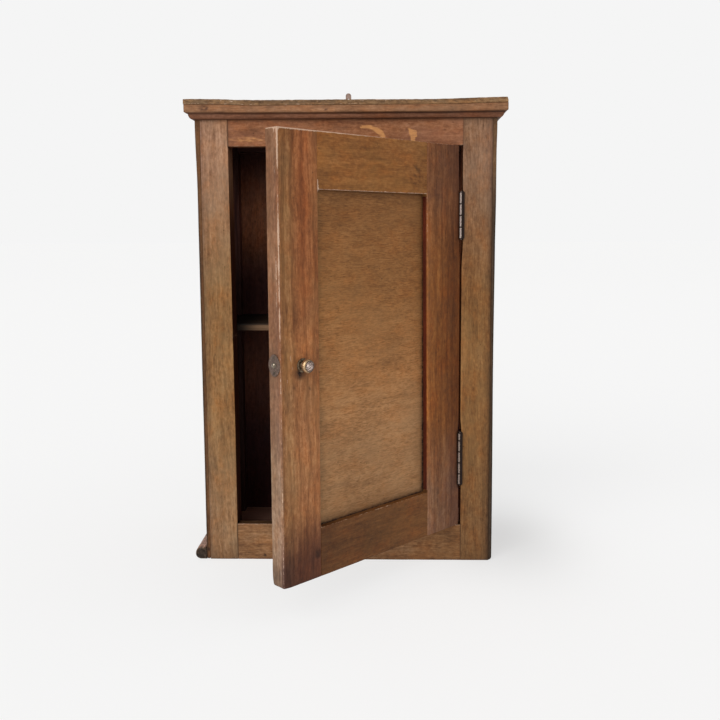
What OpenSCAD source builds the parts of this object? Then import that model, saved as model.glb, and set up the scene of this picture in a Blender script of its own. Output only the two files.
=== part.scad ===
// Small wall-hung wooden cupboard for bobbins and sewing notions.
// A nailed board carcass behind a solid face frame, a mitred crown moulding under a
// thin top board, one shelf, and an inset frame-and-panel door on two butt hinges.
// Origin: centre of the base. +X to the right seen from the front, front faces -Y, +Z up.
// The door is drawn part open, turned about the hinge pins by door_open.

/* [Case] */
// Width over the two side boards
case_w = 345; // [325:1:370]
// Depth from the face of the frame to the back of the back panel
case_d = 165; // [150:1:190]
// Height from the base to the underside of the top board
case_h = 538; // [525:1:560]
// Thickness of the side boards
side_t = 4.5; // [3.5:0.5:6]
// Thickness of the back panel
back_t = 5; // [4:0.5:6]
// Thickness of the top board
top_t = 6; // [4.5:0.5:8]
// Thickness of the bottom board
floor_t = 12; // [9:0.5:16]

/* [Face frame] */
// Width of the door opening
open_w = 269; // [260:1:280]
// Height of the bottom rail
rail_bottom_h = 44; // [40:1:50]
// Level of the top of the door opening
open_top = 492; // [480:1:500]
// Depth of the front stiles, front to back
stile_d = 28; // [26:1:32]
// Thickness of the top and bottom rails
rail_t = 12; // [11:0.5:18]

/* [Crown] */
// Projection of the crown moulding beyond the case
crown_p = 11; // [9:0.5:13]
// Height of the crown moulding under the top board
crown_h = 16; // [14:0.5:22]

/* [Shelf] */
// Level of the top of the shelf
shelf_z = 284; // [200:1:340]
// Thickness of the shelf
shelf_t = 8.2; // [7:0.2:10]
// Distance from the frame's face to the front edge of the shelf
shelf_back = 30; // [29:1:40]

/* [Door] */
// Angle the door stands open at
door_open = 45.7; // [0:0.1:100]
// Thickness of the door
door_t = 17.6; // [16.5:0.1:18.5]
// Width of the door
door_w = 264; // [255:0.5:264.5]
// Clearance above and below the door
door_gap_z = 1; // [1:0.5:4]
// Width of the stile with the knob
stile_free_w = 49; // [44:0.5:56]
// Width of the stile with the hinges
stile_hinge_w = 54.5; // [48:0.5:60]
// Height of the door's top rail
door_rail_top_h = 56; // [48:0.5:62]
// Height of the door's bottom rail
door_rail_bottom_h = 51.5; // [44:0.5:60]
// Depth of the panel below the face of the door
panel_recess = 6.5; // [5.5:0.1:7]
// Thickness of the panel
panel_t = 5; // [4:0.1:5]

/* [Knob] */
// Diameter of the knob's head
knob_d = 14.2; // [12:0.2:20]
// Distance the knob stands out from the door
knob_l = 13.2; // [12.6:0.1:16]
// Height of the knob above the base
knob_z = 264.2; // [240:0.2:300]
// Distance from the door's free edge to the knob's centre
knob_in = 27.4; // [22:0.2:29]

/* [Catch] */
// Height of the ball catch above the base
catch_z = 266; // [240:0.1:300]
// Radius of the catch ball
ball_r = 3.2; // [3:0.05:3.2]
// Travel of the catch ball into its barrel
ball_travel = 2.2; // [1.8:0.1:2.4]

/* [Hinges] */
// Radius of the hinge barrel
barrel_r = 2.8; // [2.6:0.05:2.9]
// Radius of the hinge pin
pin_r = 1.25; // [1:0.05:1.3]
// Thickness of the hinge leaves
leaf_t = 1.25; // [1:0.05:1.25]
// Gap between the closed hinge leaves
leaf_gap = 0.3; // [0.3:0.05:0.6]
// Width of a leaf behind the face of the wood
leaf_w = 15.5; // [14:0.5:16]
// Lower end of the upper hinge
hinge_up_z = 385.4; // [360:0.1:400]
// Lower end of the lower hinge
hinge_lo_z = 94.9; // [80:0.1:120]
// Length of one full knuckle
knuckle = 13.3; // [12:0.1:14]

/* [Hanger] */
// Width of the hanger strap
strap_w = 7.3; // [6.5:0.1:12]
// Height of the strap above the base
strap_top = 578; // [568:0.5:590]
// Radius of the hanging hole
strap_hole_r = 1.75; // [1.5:0.05:2]

/* [Hidden] */
$fn = 48;

yf = -case_d/2;              // face of the frame
yb = case_d/2;               // back of the back panel
yi = yb - back_t;            // inside of the back panel
xo = case_w/2;               // outside of the side boards
xi = xo - side_t;            // inside of the side boards
xs = open_w/2;               // edge of the door opening
post = 18;                   // back posts, square
cleat = 10;                  // width of the cleats
tenon_t = 5;                 // frame tenon thickness
tenon_y = 3.5;               // frame tenon behind the face
tenon_l = 20;                // frame tenon length
rail_h = 38;                 // height of the back rail that carries the hanger
batten_r = 7;                // radius of the half-round batten

// hinge line
pin_x = xs - leaf_t - leaf_gap/2;
pin_y = yf - barrel_r;
// door, drawn shut in this frame and then turned about the hinge line
dx1 = xs - 2*leaf_t - leaf_gap;   // hinge edge
dx0 = dx1 - door_w;               // free edge
dz0 = rail_bottom_h + door_gap_z;
dz1 = open_top - door_gap_z;
dyf = yf;
dyb = yf + door_t;
sx0 = dx0 + stile_free_w;         // inner edge of the free stile
sx1 = dx1 - stile_hinge_w;        // inner edge of the hinge stile
rz0 = dz0 + door_rail_bottom_h;   // top of the bottom rail
rz1 = dz1 - door_rail_top_h;      // underside of the top rail
groove_t = panel_t + 0.2;
groove_y = dyf + panel_recess - 0.1;
groove_d = 8;
dtenon_l = 26;
knob_x = dx0 + knob_in;
seg_up = [knuckle, knuckle, knuckle, knuckle];
seg_lo = [knuckle, knuckle, knuckle, knuckle, 9.3];
ball_c = 0.2;                     // centre of the ball inside the door's edge
plate_t = 0.8;                    // the catch plate stands this proud of the edge
barrel_in = 3.35;                 // bore of the catch barrel
strap_x = -4.6;
strap_t = 2;
strap_hole_in = 8.7;              // the hanging hole's centre below the strap's top

function sum(v, n, i = 0) = i < n ? v[i] + sum(v, n, i + 1) : 0;
function total(v) = sum(v, len(v));

wood_case = "#8a5f3c";
wood_rail = "#8c5433";
wood_door = "#85593a";
wood_inside = "#6b4529";
wood_panel = "#8b6240";
metal_old = "#8d7350";
metal_hinge = "#b29a8a";
metal_dark = "#54473b";

module block(x0, x1, y0, y1, z0, z1) translate([x0, y0, z0]) cube([x1 - x0, y1 - y0, z1 - z0]);
module turned() translate([pin_x, pin_y, 0]) rotate([0, 0, door_open]) translate([-pin_x, -pin_y, 0]) children();
// extrudes an outline drawn in Y and Z along X
module along_x(x0, x1) translate([x0, 0, 0]) rotate([90, 0, 90]) linear_extrude(x1 - x0) children();
// a round wire nail at p, driven along the axis that the rotation r gives
module nail(p, r, l = 16, hr = 1.4) translate(p) rotate(r) {
    cylinder(h = 0.6, r = hr);
    translate([0, 0, 0.3]) cylinder(h = l - 2.3, r = 0.65);
    translate([0, 0, l - 2]) cylinder(h = 2, r1 = 0.65, r2 = 0.1);
}
// a slotted countersunk wood screw, its head's face at p
module wood_screw(p, r, l = 15, hr = 3.1) translate(p) rotate(r) difference() {
    union() {
        cylinder(h = hr - 1.5, r1 = hr, r2 = 1.5);
        translate([0, 0, hr - 1.6]) cylinder(h = l - hr - 1.4, r = 1.5);
        translate([0, 0, l - 3]) cylinder(h = 3, r1 = 1.5, r2 = 0.15);
    }
    rotate([0, 0, 35]) translate([-hr - 1, -0.35, -0.5]) cube([2*hr + 2, 0.7, 1.2]);
}

// ---- face frame ----
module frame_tenon(side, z0, z1, y0) // side is -1 or 1
    block(side < 0 ? -xs - tenon_l : xs - 0.01, side < 0 ? -xs + 0.01 : xs + tenon_l, y0, y0 + tenon_t, z0, z1);
module mortises(side) {
    frame_tenon(side, open_top + 8, case_h - 8, yf + tenon_y);
    frame_tenon(side, 8, rail_bottom_h - 8, yf + tenon_y);
}
module stile_left() color(wood_case) difference() {
    block(-xi, -xs, yf, yf + stile_d, 0, case_h);
    mortises(-1);
    // the ball's dimple in the stile's inner edge
    translate([-xs - 1.4, yf + door_t/2, catch_z]) rotate([0, 90, 0]) cylinder(h = 3, r = 3.6);
}
module stile_right() color(wood_case) difference() {
    block(xs, xi, yf, yf + stile_d, 0, case_h);
    mortises(1);
}
module frame_rail(z0, z1, t0, t1) {
    block(-xs, xs, yf, yf + rail_t, z0, z1);
    for (s = [-1, 1]) frame_tenon(s, t0, t1, yf + tenon_y);
}
module frame_rail_top() color(wood_rail) frame_rail(open_top, case_h, open_top + 8, case_h - 8);
module frame_rail_bottom() color(wood_case) frame_rail(0, rail_bottom_h, 8, rail_bottom_h - 8);

// ---- carcass ----
module side_board_left() color(wood_case) block(-xo, -xi, yf, yi, 0, case_h);
module side_board_right() color(wood_case) block(xi, xo, yf, yi, 0, case_h);
module back_post_left() color(wood_inside) block(-xi, -xi + post, yi - post, yi, 0, case_h);
module back_post_right() color(wood_inside) block(xi - post, xi, yi - post, yi, 0, case_h);
module back_rail() color(wood_inside) block(-xi + post, xi - post, yi - 16, yi, case_h - rail_h, case_h);
module back_panel() color(wood_inside) block(-xo, xo, yi, yb, 0, case_h);
module top_board() color(wood_case) block(-xo - crown_p - 0.5, xo + crown_p + 0.5, yf - crown_p - 0.5, yb, case_h, case_h + top_t);
// a board notched round the front stiles (where it reaches them) and the back posts
module notched(z0, z1, y0) difference() {
    block(-xi, xi, y0, yi, z0, z1);
    for (s = [-1, 1]) {
        translate([s*(xi - post/2), yi - post/2, (z0 + z1)/2]) cube([post, post, z1 - z0 + 2], center = true);
        if (y0 < yf + stile_d) translate([s*(xi + xs)/2, yf + stile_d/2, (z0 + z1)/2]) cube([xi - xs, stile_d, z1 - z0 + 2], center = true);
    }
}
module bottom_board() color(wood_inside) notched(0, floor_t, yf + rail_t);
module shelf() color(wood_inside) notched(shelf_z - shelf_t, shelf_z, yf + shelf_back);
module cleat_bar(side, z, h) let (x = side < 0 ? -xi : xi - cleat) block(x, x + cleat, yf + shelf_back + 3, yi - post, z - h, z);
module shelf_cleat_left() color(wood_inside) cleat_bar(-1, shelf_z - shelf_t, 14);
module shelf_cleat_right() color(wood_inside) cleat_bar(1, shelf_z - shelf_t, 14);

// ---- crown moulding: a square fascia over a sloping soffit and an ovolo ----
ovolo_h = 5.3;
ovolo_p = crown_p - 6.4;
crown_outline = concat([[0, 0]], [for (a = [0:15:90]) [2.3 + ovolo_p*sin(a), ovolo_h*(1 - cos(a))]],
    [[crown_p, ovolo_h + 2.3], [crown_p, crown_h], [0, crown_h]]);
module crown_bar(l) rotate([90, 0, 90]) linear_extrude(l) polygon([for (q = crown_outline) [-q[0], q[1]]]);
e = crown_p + 4;
module crown_front() color(wood_case) intersection() {
    translate([-xo - e, yf, case_h - crown_h]) crown_bar(2*xo + 2*e);
    translate([0, 0, case_h - crown_h - 1]) linear_extrude(crown_h + 2)
        polygon([[-xo - e, yf - e], [xo + e, yf - e], [xo, yf], [-xo, yf]]);
}
module crown_side() intersection() {
    translate([xo, yf - e, case_h - crown_h]) rotate([0, 0, 90]) crown_bar(case_d + e);
    translate([0, 0, case_h - crown_h - 1]) linear_extrude(crown_h + 2)
        polygon([[xo, yf], [xo + e, yf - e], [xo + e, yb], [xo, yb]]);
}
module crown_right() color(wood_case) crown_side();
module crown_left() color(wood_case) mirror([1, 0, 0]) crown_side();

// a half-round batten nailed along the foot of the left side
module base_batten() color(metal_dark) translate([-xo, yf, 0]) rotate([90, 0, 0]) mirror([0, 0, 1])
    linear_extrude(yi - yf) union() {
        translate([-batten_r, 0]) square([batten_r, 2*batten_r]);
        translate([-batten_r, batten_r]) circle(r = batten_r);
    }

// ---- hanger ----
module hanger_strap() color(metal_old) difference() {
    union() {
        block(strap_x - strap_w/2, strap_x + strap_w/2, yb, yb + strap_t, case_h - rail_h + 4, strap_top - strap_w/2);
        translate([strap_x, yb, strap_top - strap_w/2]) rotate([-90, 0, 0]) cylinder(h = strap_t, r = strap_w/2);
    }
    translate([strap_x, yb - 1, strap_top - strap_hole_in]) rotate([-90, 0, 0]) cylinder(h = strap_t + 2, r = strap_hole_r);
    for (z = [case_h - rail_h + 9, case_h - 10]) {
        translate([strap_x, yb - 1, z]) rotate([-90, 0, 0]) cylinder(h = strap_t + 2, r = 1.6);
        translate([strap_x, yb + strap_t - 1.2, z]) rotate([-90, 0, 0]) cylinder(h = 1.25, r1 = 1.55, r2 = 2.75);
    }
}
module hanger_screws() color(metal_dark) for (z = [case_h - rail_h + 9, case_h - 10])
    wood_screw([strap_x, yb + strap_t - 0.1, z], [90, 0, 0], 13, 2.6);

// ---- nails ----
module side_nails() color(metal_dark) for (s = [-1, 1]) {
    for (y = [yf + 14, yi - 9], k = [0:5]) nail([s*xo, y, 45 + k*88], [0, -90*s, 0], 15);
    for (y = [yf + 50, yf + 98]) nail([s*xo, y, floor_t/2], [0, -90*s, 0], 15);
}
module top_nails() color(metal_dark) for (x = [-xi + 10, -72, 70, xi - 10], y = [yf + 6, yi - 8])
    nail([x, y, case_h + top_t], [180, 0, 0], 18);
module back_nails() color(metal_dark) {
    for (s = [-1, 1], k = [0:5]) nail([s*(xi - 9), yb, 52 + k*90], [90, 0, 0], 15);
    for (x = [-95, 0, 95]) nail([x, yb, floor_t/2], [90, 0, 0], 15);
    for (x = [-100, 60]) nail([x, yb, case_h - 12], [90, 0, 0], 15);
}
module batten_nails() color(metal_dark) for (y = [yf + 22, -5, yi - 10])
    nail([-xo - 2*batten_r + 0.02, y, batten_r - 0.7], [0, 90, 0], 23);

// ---- door ----
module door_stile(x0, x1, inner) // inner is the side that faces the panel, -1 or 1
    difference() {
        block(x0, x1, dyf, dyb, dz0, dz1);
        xg = inner < 0 ? x0 : x1;
        block(xg - (inner > 0 ? groove_d : 1), xg + (inner > 0 ? 1 : groove_d), groove_y, groove_y + groove_t, dz0 + 8, dz1 - 8);
        for (z = [[dz0 + 8, rz0], [rz1, dz1 - 8]])
            block(xg - (inner > 0 ? dtenon_l : 1), xg + (inner > 0 ? 1 : dtenon_l), groove_y, groove_y + groove_t, z[0], z[1]);
    }
module door_stile_free() color(wood_door) turned() difference() {
    door_stile(dx0, sx0, 1);
    // bore for the catch barrel
    translate([dx0 - 1, yf + door_t/2, catch_z]) rotate([0, 90, 0]) cylinder(h = 18.3, r = 4.25);
    // bore for the knob's stud
    translate([knob_x, dyf - 1, knob_z]) rotate([-90, 0, 0]) cylinder(h = door_t + 2, r = 2.3);
}
module door_stile_hinge() color(wood_door) turned() door_stile(sx1, dx1, -1);
module door_rail(z0, z1, g0, g1, edge) difference() { // edge is the level of the grooved edge
    union() {
        block(sx0, sx1, dyf, dyb, z0, z1);
        block(sx0 - dtenon_l, sx1 + dtenon_l, groove_y, groove_y + groove_t, g0, g1);
    }
    block(sx0 - dtenon_l - 1, sx1 + dtenon_l + 1, groove_y, groove_y + groove_t, edge - groove_d, edge + groove_d);
}
module door_rail_top() color(wood_door) turned() door_rail(rz1, dz1, rz1 + groove_d, dz1 - 8, rz1);
module door_rail_bottom() color(wood_door) turned() door_rail(dz0, rz0, dz0 + 8, rz0 - groove_d, rz0);
module door_panel() color(wood_panel) turned()
    block(sx0 - groove_d + 1, sx1 + groove_d - 1, dyf + panel_recess, dyf + panel_recess + panel_t, rz0 - groove_d + 1, rz1 + groove_d - 1);

// ---- knob, drawn along +Z from the face of the door ----
module at_knob() turned() translate([knob_x, dyf, knob_z]) rotate([90, 0, 0]) children();
kr = knob_d/2;
module knob_rosette() color(metal_old) at_knob() difference() {
    rotate_extrude() polygon(concat([[0, 0], [7, 0], [7, 0.5]], [for (a = [0:15:75]) [4.4 + 2.6*cos(a), 0.5 + 1.1*sin(a)]], [[4.0, 1.6], [0, 1.6]]));
    translate([0, 0, -1]) cylinder(h = 4, r = 2.3);
}
module knob_head() color(metal_old) at_knob() difference() {
    rotate_extrude() polygon(concat([[0, 1.6], [3.8, 1.6], [3.5, 2.2], [3.1, 2.8], [3.1, knob_l - 9.3], [3.5, knob_l - 8.7]],
        [for (a = [-75:15:75]) [kr - 3.1 + 3.1*cos(a), knob_l - 5.3 + 3.3*sin(a)]],
        [[kr - 2.7, knob_l - 2.4], [kr - 3.1, knob_l - 2.1]],
        [for (a = [20:15:80]) [(kr - 3.2)*cos(a), knob_l - 1.9 + 1.9*sin(a)]], [[0, knob_l]]));
    translate([0, 0, 0]) cylinder(h = 6.6, r = 2.05);
}
module knob_stud() color(metal_dark) at_knob() translate([0, 0, -door_t - 3.4]) cylinder(h = door_t + 10, r = 2);
module knob_nut() color(metal_dark) at_knob() difference() {
    union() {
        translate([0, 0, -door_t - 0.9]) cylinder(h = 0.9, r = 5.5);
        translate([0, 0, -door_t - 3]) cylinder(h = 2.1, r = 4.2, $fn = 6);
    }
    translate([0, 0, -door_t - 4]) cylinder(h = 5, r = 2.05);
}

// ---- ball catch, drawn along -X out of the door's free edge ----
module at_catch() turned() translate([dx0, yf + door_t/2, catch_z]) rotate([0, -90, 0]) children();
module catch_barrel() color(metal_old) at_catch() difference() {
    translate([0, 0, -17]) cylinder(h = 17, r = 4.2);
    translate([0, 0, -16]) cylinder(h = 17, r = barrel_in);
}
module catch_outline(h) intersection() { // an oval made of two arcs
    translate([0, 3.1, 0]) cylinder(h = h, r = 11.6, $fn = 96);
    translate([0, -3.1, 0]) cylinder(h = h, r = 11.6, $fn = 96);
    cube([21.4, 40, 10*h], center = true);
}
module catch_plate() color(metal_old) at_catch() difference() {
    catch_outline(plate_t);
    translate([0, 0, -0.001]) cylinder(h = plate_t + 0.002, r1 = ball_r + 0.12, r2 = ball_r - 0.08);
    for (s = [-1, 1]) translate([s*7.4, 0, -1]) cylinder(h = 3, r = 0.95);
}
module catch_pins() color(metal_dark) at_catch() for (s = [-1, 1]) translate([s*7.4, 0, 0]) {
    translate([0, 0, -9]) cylinder(h = 9.5 + plate_t, r = 0.8);
    translate([0, 0, plate_t]) cylinder(h = 0.6, r1 = 1.5, r2 = 1.1);
}
// a close spring between the bottom of the barrel and the ball
spring_r = 2.5; spring_w = 0.35; spring_n = 6; spring_z0 = -15.6; spring_z1 = -ball_c - ball_r*0.62 - 0.75;
function spring_pt(t, a) = let (u = t*360*spring_n, r = spring_r + spring_w*cos(a))
    [r*cos(u), r*sin(u), spring_z0 + (spring_z1 - spring_z0)*t + spring_w*sin(a)];
module catch_spring() color(metal_dark) at_catch() let (m = 72, k = 6) polyhedron(
    points = [for (i = [0:m], j = [0:k - 1]) spring_pt(i/m, j*360/k)],
    faces = concat([for (i = [0:m - 1], j = [0:k - 1]) each [[i*k + j, i*k + (j + 1)%k, (i + 1)*k + (j + 1)%k], [i*k + j, (i + 1)*k + (j + 1)%k, (i + 1)*k + j]]],
        [[for (j = [k - 1:-1:0]) j], [for (j = [0:k - 1]) m*k + j]]));
module catch_ball() color("#b9ad98") at_catch() translate([0, 0, -ball_c]) sphere(r = ball_r);

// ---- butt hinges: knuckles of the case leaf and the door leaf take turns from the bottom up ----
module knuckles(z0, seg, own, r, grow) for (i = [0:len(seg) - 1]) if (i % 2 == own)
    translate([pin_x, pin_y, z0 + sum(seg, i) + 0.12 - grow]) cylinder(h = seg[i] - 0.24 + 2*grow, r = r);
screw_rows = [[0.15, 6.6], [0.5, 10.4], [0.85, 6.6]];
module leaf(z0, seg, own) difference() {      // own is 0 on the case, 1 on the door
    union() {
        difference() {
            // the plate, drawn on the case's side and mirrored for the door
            translate([pin_x, 0, 0]) mirror([own, 0, 0])
                block(leaf_gap/2, leaf_gap/2 + leaf_t, pin_y, yf + leaf_w, z0 + 0.12, z0 + total(seg) - 0.12);
            knuckles(z0, seg, 1 - own, barrel_r + 0.25, 0.12 + 0.12);
        }
        knuckles(z0, seg, own, barrel_r, 0);
    }
    translate([pin_x, pin_y, z0 - 1]) cylinder(h = total(seg) + 2, r = pin_r + 0.05);
    for (q = screw_rows) translate([pin_x, yf + q[1], z0 + q[0]*total(seg)]) mirror([own, 0, 0]) rotate([0, 90, 0]) {
        translate([0, 0, leaf_gap/2]) cylinder(h = leaf_t, r1 = 3.15, r2 = 3.15 - leaf_t);
        cylinder(h = 4, r = 1.75);
    }
}
module leaf_screws(z0, seg, own) for (q = screw_rows)
    translate([pin_x, yf + q[1], z0 + q[0]*total(seg)]) mirror([own, 0, 0]) wood_screw([leaf_gap/2, 0, 0], [0, 90, 0], 15, 3.1);
module hinge_pin(z0, seg) translate([pin_x, pin_y, z0]) {
    translate([0, 0, -1]) cylinder(h = total(seg) + 2, r = pin_r);
    translate([0, 0, -1.1]) cylinder(h = 1, r1 = 1.6, r2 = 2.3);
    translate([0, 0, total(seg) + 0.1]) cylinder(h = 1, r1 = 2.3, r2 = 1.6);
}
module hinge_upper_case_leaf() color(metal_hinge) leaf(hinge_up_z, seg_up, 0);
module hinge_upper_door_leaf() color(metal_hinge) turned() leaf(hinge_up_z, seg_up, 1);
module hinge_upper_pin() color(metal_hinge) hinge_pin(hinge_up_z, seg_up);
module hinge_upper_case_screws() color(metal_dark) leaf_screws(hinge_up_z, seg_up, 0);
module hinge_upper_door_screws() color(metal_dark) turned() leaf_screws(hinge_up_z, seg_up, 1);
module hinge_lower_case_leaf() color(metal_hinge) leaf(hinge_lo_z, seg_lo, 0);
module hinge_lower_door_leaf() color(metal_hinge) turned() leaf(hinge_lo_z, seg_lo, 1);
module hinge_lower_pin() color(metal_hinge) hinge_pin(hinge_lo_z, seg_lo);
module hinge_lower_case_screws() color(metal_dark) leaf_screws(hinge_lo_z, seg_lo, 0);
module hinge_lower_door_screws() color(metal_dark) turned() leaf_screws(hinge_lo_z, seg_lo, 1);

stile_left();
stile_right();
frame_rail_top();
frame_rail_bottom();
side_board_left();
side_board_right();
back_post_left();
back_post_right();
back_rail();
back_panel();
top_board();
bottom_board();
shelf();
shelf_cleat_left();
shelf_cleat_right();
crown_front();
crown_left();
crown_right();
base_batten();
hanger_strap();
hanger_screws();
side_nails();
top_nails();
back_nails();
batten_nails();
door_stile_free();
door_stile_hinge();
door_rail_top();
door_rail_bottom();
door_panel();
knob_head();
knob_rosette();
knob_stud();
knob_nut();
catch_barrel();
catch_plate();
catch_pins();
catch_spring();
catch_ball();
hinge_upper_case_leaf();
hinge_upper_door_leaf();
hinge_upper_pin();
hinge_upper_case_screws();
hinge_upper_door_screws();
hinge_lower_case_leaf();
hinge_lower_door_leaf();
hinge_lower_pin();
hinge_lower_case_screws();
hinge_lower_door_screws();
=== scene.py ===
import math

import bpy
import numpy as np
from mathutils import Matrix, Vector


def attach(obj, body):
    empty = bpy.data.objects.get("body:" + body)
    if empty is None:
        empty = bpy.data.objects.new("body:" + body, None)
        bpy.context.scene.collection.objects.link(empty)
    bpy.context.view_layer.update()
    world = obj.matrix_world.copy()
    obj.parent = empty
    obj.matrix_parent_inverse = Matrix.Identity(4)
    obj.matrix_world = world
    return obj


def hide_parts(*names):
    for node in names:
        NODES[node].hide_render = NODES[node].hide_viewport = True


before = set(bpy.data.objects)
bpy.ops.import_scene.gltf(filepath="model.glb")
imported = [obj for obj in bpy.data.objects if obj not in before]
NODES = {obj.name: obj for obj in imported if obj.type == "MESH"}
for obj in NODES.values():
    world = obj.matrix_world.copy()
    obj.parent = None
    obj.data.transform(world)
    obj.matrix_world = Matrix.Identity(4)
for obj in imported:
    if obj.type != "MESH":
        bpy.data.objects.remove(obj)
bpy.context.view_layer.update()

# ------------------------------------------------------------------ sizes, in mm in the row's frame
XO, XI, XS = 172.5, 168.0, 134.5        # outside and inside of the side boards, edge of the opening
YF, YI, YB = -82.5, 77.5, 82.5          # face of the frame, inside and outside of the back panel
HC, TT = 538.0, 6.0                     # underside and thickness of the top board
RB, OT = 44.0, 492.0                    # top of the bottom rail, top of the opening
PIN = (133.1, -85.3)
OPEN = 45.7
DX0, DX1 = -132.3, 131.7                # door's free edge and hinge edge, shut
SX0, SX1 = -83.3, 77.2                  # inner edges of the door's stiles
DZ0, DZ1, RZ0, RZ1 = 45.0, 491.0, 96.5, 435.0
DYB = YF + 17.6
RECESS = 6.5
MM = 0.001

TURN = (Matrix.Translation((PIN[0]*MM, PIN[1]*MM, 0)) @ Matrix.Rotation(math.radians(OPEN), 4, 'Z')
        @ Matrix.Translation((-PIN[0]*MM, -PIN[1]*MM, 0)))


# ------------------------------------------------------------------ smooth noise on arrays of points
def _hash(ix, iy, iz, seed):
    n = (ix*374761393 + iy*668265263 + iz*1440662683 + seed*1274126177) & 0xffffffff
    n = ((n ^ (n >> 13))*1274126177) & 0xffffffff
    n = ((n ^ (n >> 15))*2246822519) & 0xffffffff
    n = n ^ (n >> 16)
    return (n & 0xffffff)/float(0xffffff)*2.0 - 1.0


def vnoise(p, seed=0):
    i = np.floor(p).astype(np.int64)
    f = p - i
    u = f*f*(3.0 - 2.0*f)
    out = np.zeros(len(p))
    for dx in (0, 1):
        wx = u[:, 0] if dx else 1 - u[:, 0]
        for dy in (0, 1):
            wy = u[:, 1] if dy else 1 - u[:, 1]
            for dz in (0, 1):
                wz = u[:, 2] if dz else 1 - u[:, 2]
                out += wx*wy*wz*_hash(i[:, 0] + dx, i[:, 1] + dy, i[:, 2] + dz, seed)
    return out


def fbm(p, seed=0, octaves=3, gain=0.5):
    out, a, tot, q = np.zeros(len(p)), 1.0, 0.0, np.array(p, float)
    for k in range(octaves):
        out += a*vnoise(q, seed + 17*k)
        tot += a
        a *= gain
        q = q*2.03 + 11.3
    return out/tot


def smooth(a, b, x):
    t = np.clip((x - a)/(b - a), 0.0, 1.0)
    return t*t*(3 - 2*t)


# ------------------------------------------------------------------ node helpers
class NT:
    def __init__(self, name):
        self.mat = bpy.data.materials.new(name)
        self.mat.use_nodes = True
        self.t = self.mat.node_tree
        self.t.nodes.clear()
        self.out = self.t.nodes.new("ShaderNodeOutputMaterial")
        self.bsdf = self.t.nodes.new("ShaderNodeBsdfPrincipled")
        self.t.links.new(self.bsdf.outputs[0], self.out.inputs[0])

    def put(self, socket, v):
        if isinstance(v, bpy.types.NodeSocket):
            self.t.links.new(v, socket)
        elif isinstance(v, (tuple, list)) and socket.type == 'RGBA' and len(v) == 3:
            socket.default_value = (*v, 1.0)
        else:
            socket.default_value = v

    def math(self, op, a, b=None, c=None, clamp=False):
        n = self.t.nodes.new("ShaderNodeMath")
        n.operation = op
        n.use_clamp = clamp
        for s, v in zip(n.inputs, (a, b, c)):
            if v is not None:
                self.put(s, v)
        return n.outputs[0]

    def mix(self, fac, a, b, blend='MIX'):
        n = self.t.nodes.new("ShaderNodeMix")
        n.data_type = 'RGBA'
        n.blend_type = blend
        n.clamp_factor = True
        self.put(n.inputs[0], fac)
        self.put(n.inputs[6], a)
        self.put(n.inputs[7], b)
        return n.outputs[2]

    def noise(self, vec, scale=1.0, detail=3.0, rough=0.5, dist=0.0):
        n = self.t.nodes.new("ShaderNodeTexNoise")
        n.noise_dimensions = '3D'
        self.put(n.inputs["Vector"], vec)
        n.inputs["Scale"].default_value = scale
        n.inputs["Detail"].default_value = detail
        n.inputs["Roughness"].default_value = rough
        n.inputs["Distortion"].default_value = dist
        return n.outputs[0]

    def voronoi(self, vec, scale=1.0, feature='F1'):
        n = self.t.nodes.new("ShaderNodeTexVoronoi")
        n.feature = feature
        self.put(n.inputs["Vector"], vec)
        n.inputs["Scale"].default_value = scale
        return n.outputs["Distance"]

    def scaled(self, vec, sx, sy, sz, off=(0, 0, 0)):
        n = self.t.nodes.new("ShaderNodeVectorMath")
        n.operation = 'MULTIPLY_ADD'
        self.put(n.inputs[0], vec)
        n.inputs[1].default_value = (sx, sy, sz)
        n.inputs[2].default_value = off
        return n.outputs[0]

    def vadd(self, a, b):
        n = self.t.nodes.new("ShaderNodeVectorMath")
        n.operation = 'ADD'
        self.put(n.inputs[0], a)
        self.put(n.inputs[1], b)
        return n.outputs[0]

    def comb(self, x, y, z):
        n = self.t.nodes.new("ShaderNodeCombineXYZ")
        for s, v in zip(n.inputs, (x, y, z)):
            self.put(s, v)
        return n.outputs[0]

    def sep(self, v):
        n = self.t.nodes.new("ShaderNodeSeparateXYZ")
        self.put(n.inputs[0], v)
        return n.outputs

    def attr(self, name):
        n = self.t.nodes.new("ShaderNodeAttribute")
        n.attribute_name = name
        return n.outputs

    def step(self, v, a, b, lo=0.0, hi=1.0):
        n = self.t.nodes.new("ShaderNodeMapRange")
        n.interpolation_type = 'SMOOTHSTEP'
        self.put(n.inputs[0], v)
        n.inputs[1].default_value = a
        n.inputs[2].default_value = b
        n.inputs[3].default_value = lo
        n.inputs[4].default_value = hi
        return n.outputs[0]

    def ramp(self, fac, stops):
        n = self.t.nodes.new("ShaderNodeValToRGB")
        self.put(n.inputs[0], fac)
        cr = n.color_ramp
        while len(cr.elements) < len(stops):
            cr.elements.new(0.5)
        for e, (p, c) in zip(cr.elements, stops):
            e.position = p
            e.color = (*c, 1.0)
        return n.outputs[0]

    def bump(self, height, strength, dist, normal=None):
        n = self.t.nodes.new("ShaderNodeBump")
        n.inputs["Strength"].default_value = strength
        n.inputs["Distance"].default_value = dist
        self.put(n.inputs["Height"], height)
        if normal is not None:
            self.put(n.inputs["Normal"], normal)
        return n.outputs[0]


def mul(c, k):
    return tuple(min(1.0, v*k) for v in c)


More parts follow.
